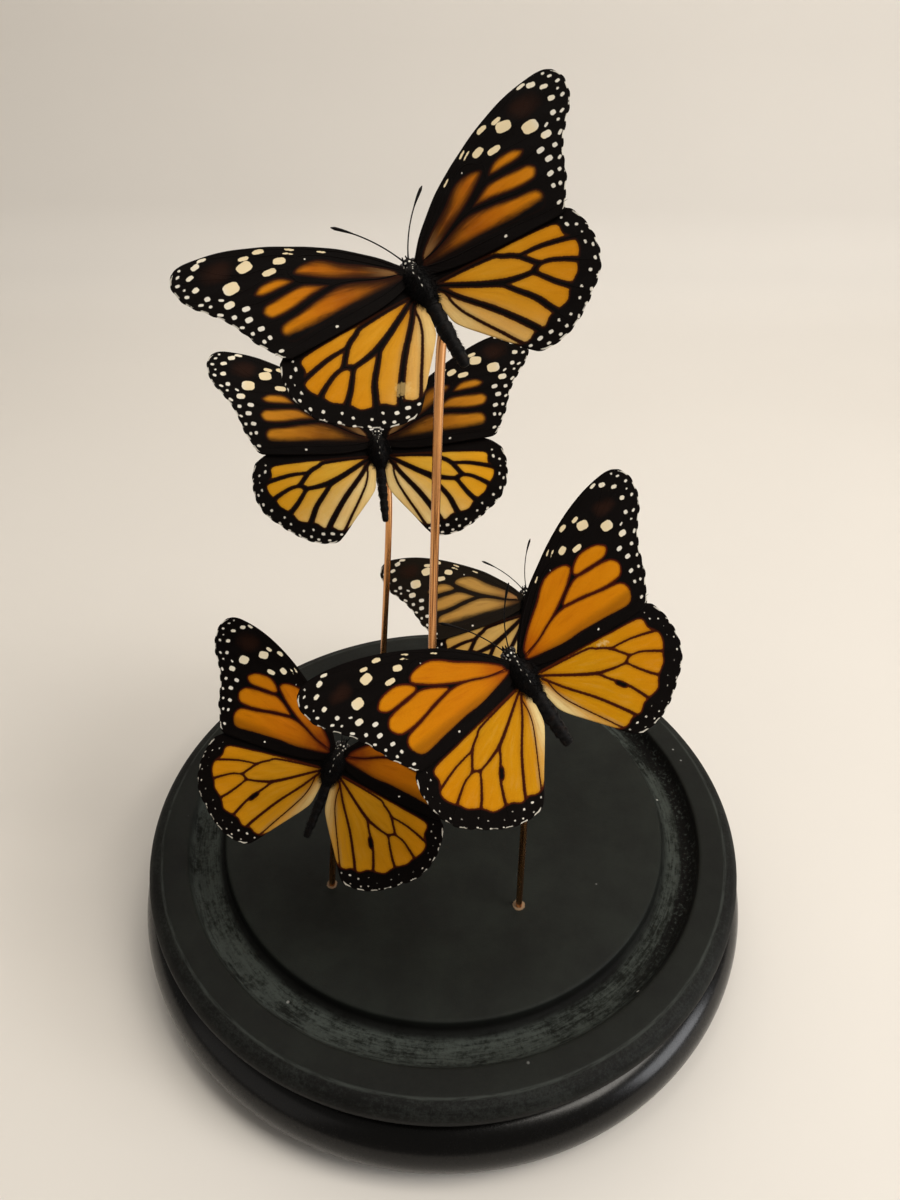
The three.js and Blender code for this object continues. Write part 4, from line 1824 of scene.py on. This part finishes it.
@dataclass
class Butterfly:
    """One dried monarch: its place, the angles of its body and wings, its sex and its colours.

    The body is at a place with its height above the plateau. Dihedral lifts a wing, twist turns
    it about its length, and the two swings turn it forwards. Pairs are left, right.
    """

    name: str
    sex: Sex
    at: Place
    heading: float
    climb: float
    bank: float
    size: float
    dihedral: Point
    twist: Point
    fore_swing: Point
    hind_swing: Point
    antennae: tuple[Point, Point]
    forewing: WingScales
    hindwing: WingScales
    seed: int
    girth: float = 1.0
    worn: dict[tuple[Pair, Side], list[Spot]] = field(default_factory=dict)

    def in_frame(self, points: np.ndarray) -> np.ndarray:
        """Takes body millimetres to the frame: turned by bank, climb and heading, then shifted."""
        matrix = turn("z", self.heading) @ turn("x", self.climb) @ turn("y", self.bank)
        return points @ matrix.T * self.size + np.array(self.at) + [0, 0, BASE_HEIGHT]

    def wing_placer(self, plan: WingPlan, side: Side, number: int) -> Placer:
        """A function that takes points on a wing's plan to the frame.

        Args:
            plan: Which wing.
            side: Left or right.
            number: The side's place in the pairs of angles.

        Returns:
            The function: mirror, swing in the plane, twist, lift, shift to the hinge, then body.
        """
        swing = (self.fore_swing if plan.pair is Pair.FORE else self.hind_swing)[number]
        lifted = turn("y", -side.value * self.dihedral[number])
        matrix = lifted @ turn("x", self.twist[number]) @ turn("z", side.value * swing)
        mirror = [side.value, 1, 1]

        def place(points: np.ndarray) -> np.ndarray:
            """Takes plan millimetres to the frame."""
            return self.in_frame((points * mirror) @ matrix.T + np.array(plan.hinge) * mirror)

        return place

    def build_wings(self, side: Side, number: int, looks: dict[Pair, Material]) -> None:
        """Makes the two wings of one side and hands them over.

        Args:
            side: Left or right.
            number: The side's place in the pairs of angles.
            looks: Finish of each pair of wings.
        """
        for plan in (forewing_plan(self.sex), hindwing_plan(self.sex)):
            kind, word = plan.pair.value, side.name.lower()
            worn = self.worn.get((plan.pair, side), [])
            wing = plan.build(side, self.wing_placer(plan, side, number), worn)
            piece = make_piece(f"{kind}_skin_{word}_{self.name}", wing, [looks[plan.pair]])
            hand_over(piece, kind, f"{kind}_{word}_{self.name}")

    def build(self, hide: Material, eye: Material) -> None:
        """Makes the body, the wings and the antennae and hands them over.

        Args:
            hide: Finish of the body.
            eye: Finish of the eyes.
        """
        trunk = Trunk(girth=self.girth)
        patches = trunk.body(self.seed)
        for patch in patches:
            patch.vertices = self.in_frame(patch.vertices)
        body = make_piece(f"trunk_{self.name}", patches, [hide, eye])
        hand_over(body, "insect_body", f"body_{self.name}")
        looks = {Pair.FORE: self.forewing.build(), Pair.HIND: self.hindwing.build()}
        for number, side in enumerate(Side):
            self.build_wings(side, number, looks)
            rod = trunk.antenna(side, *self.antennae[number])
            rod.vertices = self.in_frame(rod.vertices)
            word = side.name.lower()
            feeler = make_piece(f"feeler_{word}_{self.name}", [rod], [hide])
            hand_over(feeler, "antenna", f"antenna_{word}_{self.name}")


def top_butterfly() -> Butterfly:
    """The highest one, a female, rubbed on her left hindwing.

    Returns:
        The butterfly.
    """
    forewing = WingScales(
        "forewing_top", rgb(174, 94, 8), rgb(194, 120, 8), rgb(80, 35, 9), rgb(205, 150, 80),
        root_reach=22, vein_growth=0.62, smoke=0.85, smoke_width=1.0, root_smoke=1.9,
        rear_line=(-1.1, -0.02), hinge_tan=0.35,
    )
    hindwing = WingScales(
        "hindwing_top", rgb(200, 138, 26), rgb(194, 122, 4), rgb(160, 98, 14), rgb(216, 182, 116),
        root_reach=9, pale_turn=(34, 72), tip_brown=None,
    )
    return Butterfly(
        "top", Sex.FEMALE, at=(-6.9, -4.3, 185.1), heading=32.5, climb=31, bank=-28.5, size=1.0,
        dihedral=(11, 6.6), twist=(0, 1.7), fore_swing=(-2.6, -2.1), hind_swing=(-8, -7.5),
        antennae=((40, 18), (38, 4)), forewing=forewing, hindwing=hindwing, seed=11,
        worn={(Pair.HIND, Side.LEFT): [(15.4, -18.4, 3.4, 2.8, 20)]},
    )


def upper_left_butterfly() -> Butterfly:
    """The pale, thin female behind the top one.

    Returns:
        The butterfly.
    """
    forewing = WingScales(
        "forewing_upper_left", rgb(162, 98, 20), rgb(190, 124, 26), rgb(50, 24, 9), rgb(205, 155, 85),
        root_reach=25, vein_growth=0.55, smoke=0.85, smoke_width=1.0, root_smoke=1.7,
        rear_line=(-0.9, -0.05), hinge_tan=0.35,
    )
    hindwing = WingScales(
        "hindwing_upper_left", rgb(218, 166, 52), rgb(218, 150, 10), rgb(190, 130, 42),
        rgb(232, 202, 136), root_reach=9, pale_turn=(22, 54), tip_brown=None,
    )
    return Butterfly(
        "upper_left", Sex.FEMALE, at=(-19.6, 26.2, 128), heading=8.5, climb=35, bank=-1.5, size=0.98,
        dihedral=(12.2, 14.7), twist=(-1, -0.9), fore_swing=(1.9, 1.7), hind_swing=(-8.4, -10.1),
        antennae=((33, 12), (33, 12)), forewing=forewing, hindwing=hindwing, seed=12, girth=0.72,
    )


def back_right_butterfly() -> Butterfly:
    """The faded female at the back.

    Returns:
        The butterfly.
    """
    forewing = WingScales(
        "forewing_back_right", rgb(180, 138, 70), rgb(182, 134, 62), rgb(104, 64, 32),
        rgb(205, 165, 105), vein=rgb(42, 32, 21), vein_brown=rgb(42, 26, 14), black=rgb(26, 21, 15),
        root_reach=12, vein_growth=0.3, smoke=0.65, smoke_width=1.3, rear_line=(-1.0, -0.02),
        hinge_tan=0.6,
    )
    hindwing = WingScales(
        "hindwing_back_right", rgb(192, 154, 84), rgb(188, 142, 64), rgb(134, 98, 48),
        rgb(208, 184, 128), root_reach=9, pale_turn=(30, 64), tip_brown=None,
    )
    return Butterfly(
        "back_right", Sex.FEMALE, at=(27.5, 31.1, 68), heading=21.5, climb=37, bank=-25.5, size=0.945,
        dihedral=(9.6, 10.8), twist=(-0.3, 0.2), fore_swing=(2.6, 1.9), hind_swing=(-1.1, -2.2),
        antennae=((38, 16), (25, 18)), forewing=forewing, hindwing=hindwing, seed=13, girth=0.9,
    )


def front_right_butterfly() -> Butterfly:
    """The bright male in front, rubbed on his right hindwing.

    Returns:
        The butterfly.
    """
    forewing = WingScales(
        "forewing_front_right", rgb(194, 114, 4), rgb(198, 122, 4), rgb(160, 76, 4),
        rgb(206, 146, 40), vein_brown=rgb(80, 24, 4), root_reach=9, smoke=0.45, smoke_width=0.6,
        rear_line=(-1.4, -0.01), rear_depth=0.4, tip_brown=(36.5, 19.0, 2.3),
    )
    hindwing = WingScales(
        "hindwing_front_right", rgb(192, 132, 8), rgb(196, 124, 4), rgb(166, 100, 6),
        rgb(226, 204, 144), vein=rgb(40, 14, 5), vein_brown=rgb(74, 26, 4), root_reach=7,
        pale_turn=(54, 74), tip_brown=None,
    )
    return Butterfly(
        "front_right", Sex.MALE, at=(18.2, -40.2, 103), heading=53, climb=44, bank=-31.5, size=1.01,
        dihedral=(7.4, 6.8), twist=(-1.5, -1), fore_swing=(0.5, 0.3), hind_swing=(-6.3, -6.8),
        antennae=((31, -8), (29, 24)), forewing=forewing, hindwing=hindwing, seed=14, girth=1.12,
        worn={(Pair.HIND, Side.RIGHT): [(18.4, -1.4, 2.6, 0.7, -8)]},
    )


def front_left_butterfly() -> Butterfly:
    """The lowest one, a male with whiter spots.

    Returns:
        The butterfly.
    """
    forewing = WingScales(
        "forewing_front_left", rgb(192, 108, 8), rgb(200, 122, 6), rgb(112, 44, 8),
        rgb(204, 140, 50), vein_brown=rgb(74, 22, 4), cream=rgb(248, 236, 206),
        pale_cream=rgb(248, 240, 220), white=rgb(246, 240, 228), root_reach=16, vein_growth=0.1,
        smoke=0.5, smoke_width=0.8, rear_line=(-1.6, -0.01), rear_depth=0.4,
    )
    hindwing = WingScales(
        "hindwing_front_left", rgb(194, 134, 18), rgb(204, 132, 8), rgb(146, 94, 14),
        rgb(214, 184, 122), vein=rgb(40, 14, 5), vein_brown=rgb(70, 25, 5), root_reach=8,
        pale_turn=(52, 78), tip_brown=None,
    )
    return Butterfly(
        "front_left", Sex.MALE, at=(-31.2, -27.1, 55.4), heading=-26.5, climb=36, bank=12.5,
        size=1.005, dihedral=(1.7, 3.9), twist=(0.2, 2), fore_swing=(0.6, 0.7),
        hind_swing=(-8.8, -6.9), antennae=((32, 12), (32, 12)), forewing=forewing,
        hindwing=hindwing, seed=15, girth=0.8,
    )


def display_butterflies() -> list[Butterfly]:
    """The five butterflies.

    Returns:
        The butterflies, from the highest to the lowest at the back, then in front.
    """
    return [
        top_butterfly(),
        upper_left_butterfly(),
        back_right_butterfly(),
        front_right_butterfly(),
        front_left_butterfly(),
    ]


# ---------------------------------------------------------------- surroundings


@dataclass(frozen=True)
class SoftLight:
    """Square soft light with its place and side in metres and its power in watts."""

    name: str
    at: Place
    size: float
    power: float
    tint: Colour

    def build(self, towards: Place) -> None:
        """Adds the light.

        Args:
            towards: The point that it faces.
        """
        data = bpy.data.lights.new(self.name, "AREA")
        data.size, data.energy, data.color = self.size, self.power, self.tint
        lamp = bpy.data.objects.new(self.name, data)
        lamp.location = self.at
        aim = Vector(towards) - Vector(self.at)
        lamp.rotation_euler = aim.to_track_quat("-Z", "Y").to_euler()
        bpy.context.scene.collection.objects.link(lamp)


@dataclass
class Studio:
    """Pale floor, soft lights and the camera."""

    lights: tuple[SoftLight, ...] = (
        SoftLight("window", (0.6, -0.22, 1.15), 0.6, 9.8, (1.0, 0.95, 0.87)),
        SoftLight("side", (0.95, -0.36, 0.37), 0.46, 4.4, (0.96, 0.97, 1.0)),
        SoftLight("ceiling", (-0.1, 0.3, 1.3), 0.9, 5.5, (1.0, 0.96, 0.9)),
        SoftLight("room", (-0.9, -0.6, 0.6), 0.9, 1.0, (1.0, 0.95, 0.9)),
    )
    middle: Place = (0.0, 0.0, 0.12)
    sky: Colour = (0.9, 0.86, 0.8)
    sky_strength: float = 0.2
    eye: Place = (0.0, -203.2, 284.1)
    yaw: float = 0.32
    pitch: float = 37.65
    roll: float = 0.70
    lens: float = 27.0

    def floor(self) -> None:
        """A wide pale floor under the base that curves up behind it."""
        across = np.linspace(-1600, 1600, 30)
        run = np.array([-1400, -600, 0, 400, 520, 580, 610, 620, 622])
        rise = np.array([0, 0, 0, 0, 8, 32, 80, 200, 1600])
        x, row = np.meshgrid(across, np.arange(len(run)), indexing="ij")
        points = np.stack([x, run[row], rise[row] - 0.05], axis=-1).reshape(-1, 3)
        index = np.arange(x.size).reshape(x.shape)
        s = Shader("pale_floor")
        tone = s.mix(s.noise(s.place(), 3, 3), rgb(218, 213, 206), rgb(226, 221, 214))
        material = s.finished(Base_Color=tone, Roughness=0.8)
        make_piece("pale_floor", [Patch(points, grid_faces(index))], [material])

    def camera(self) -> None:
        """Sets the camera from its place, heading, downward pitch and roll."""
        heading, down, roll = (math.radians(a) for a in (self.yaw, self.pitch, self.roll))
        ahead = Vector((math.sin(heading), math.cos(heading), 0)) * math.cos(down)
        forward = ahead - Vector((0, 0, math.sin(down)))
        level = forward.cross(Vector((0, 0, 1))).normalized()
        upright = level.cross(forward)
        right = level * math.cos(roll) + upright * math.sin(roll)
        up = upright * math.cos(roll) - level * math.sin(roll)
        data = bpy.data.cameras.new("camera")
        data.lens, data.sensor_width = self.lens, 36.0
        data.clip_start = 0.01
        camera = bpy.data.objects.new("camera", data)
        axes = Matrix((right, up, -forward)).transposed().to_4x4()
        camera.matrix_world = Matrix.Translation(Vector(self.eye) * MM) @ axes
        bpy.context.scene.collection.objects.link(camera)
        bpy.context.scene.camera = camera

    def build(self) -> None:
        """Makes the floor, the lights, the soft sky and the camera."""
        self.floor()
        for light in self.lights:
            light.build(self.middle)
        world = bpy.data.worlds.new("soft_room")
        world.use_nodes = True
        background = world.node_tree.nodes["Background"]
        background.inputs["Color"].default_value = (*self.sky, 1.0)
        background.inputs["Strength"].default_value = self.sky_strength
        bpy.context.scene.world = world
        bpy.context.scene.view_settings.view_transform = "Standard"
        self.camera()


def main() -> None:
    """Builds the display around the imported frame."""
    logging.basicConfig(level=logging.INFO, format="%(message)s")
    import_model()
    Studio().build()
    TurnedBase().build()
    copper, glue = CopperWire().build(), ClearGlue().build()
    for stem in display_stems():
        stem.build(copper, glue)
    hide, eye = InsectHide().build(), CompoundEye().build()
    for butterfly in display_butterflies():
        butterfly.build(hide, eye)


if __name__ == "__main__":
    main()
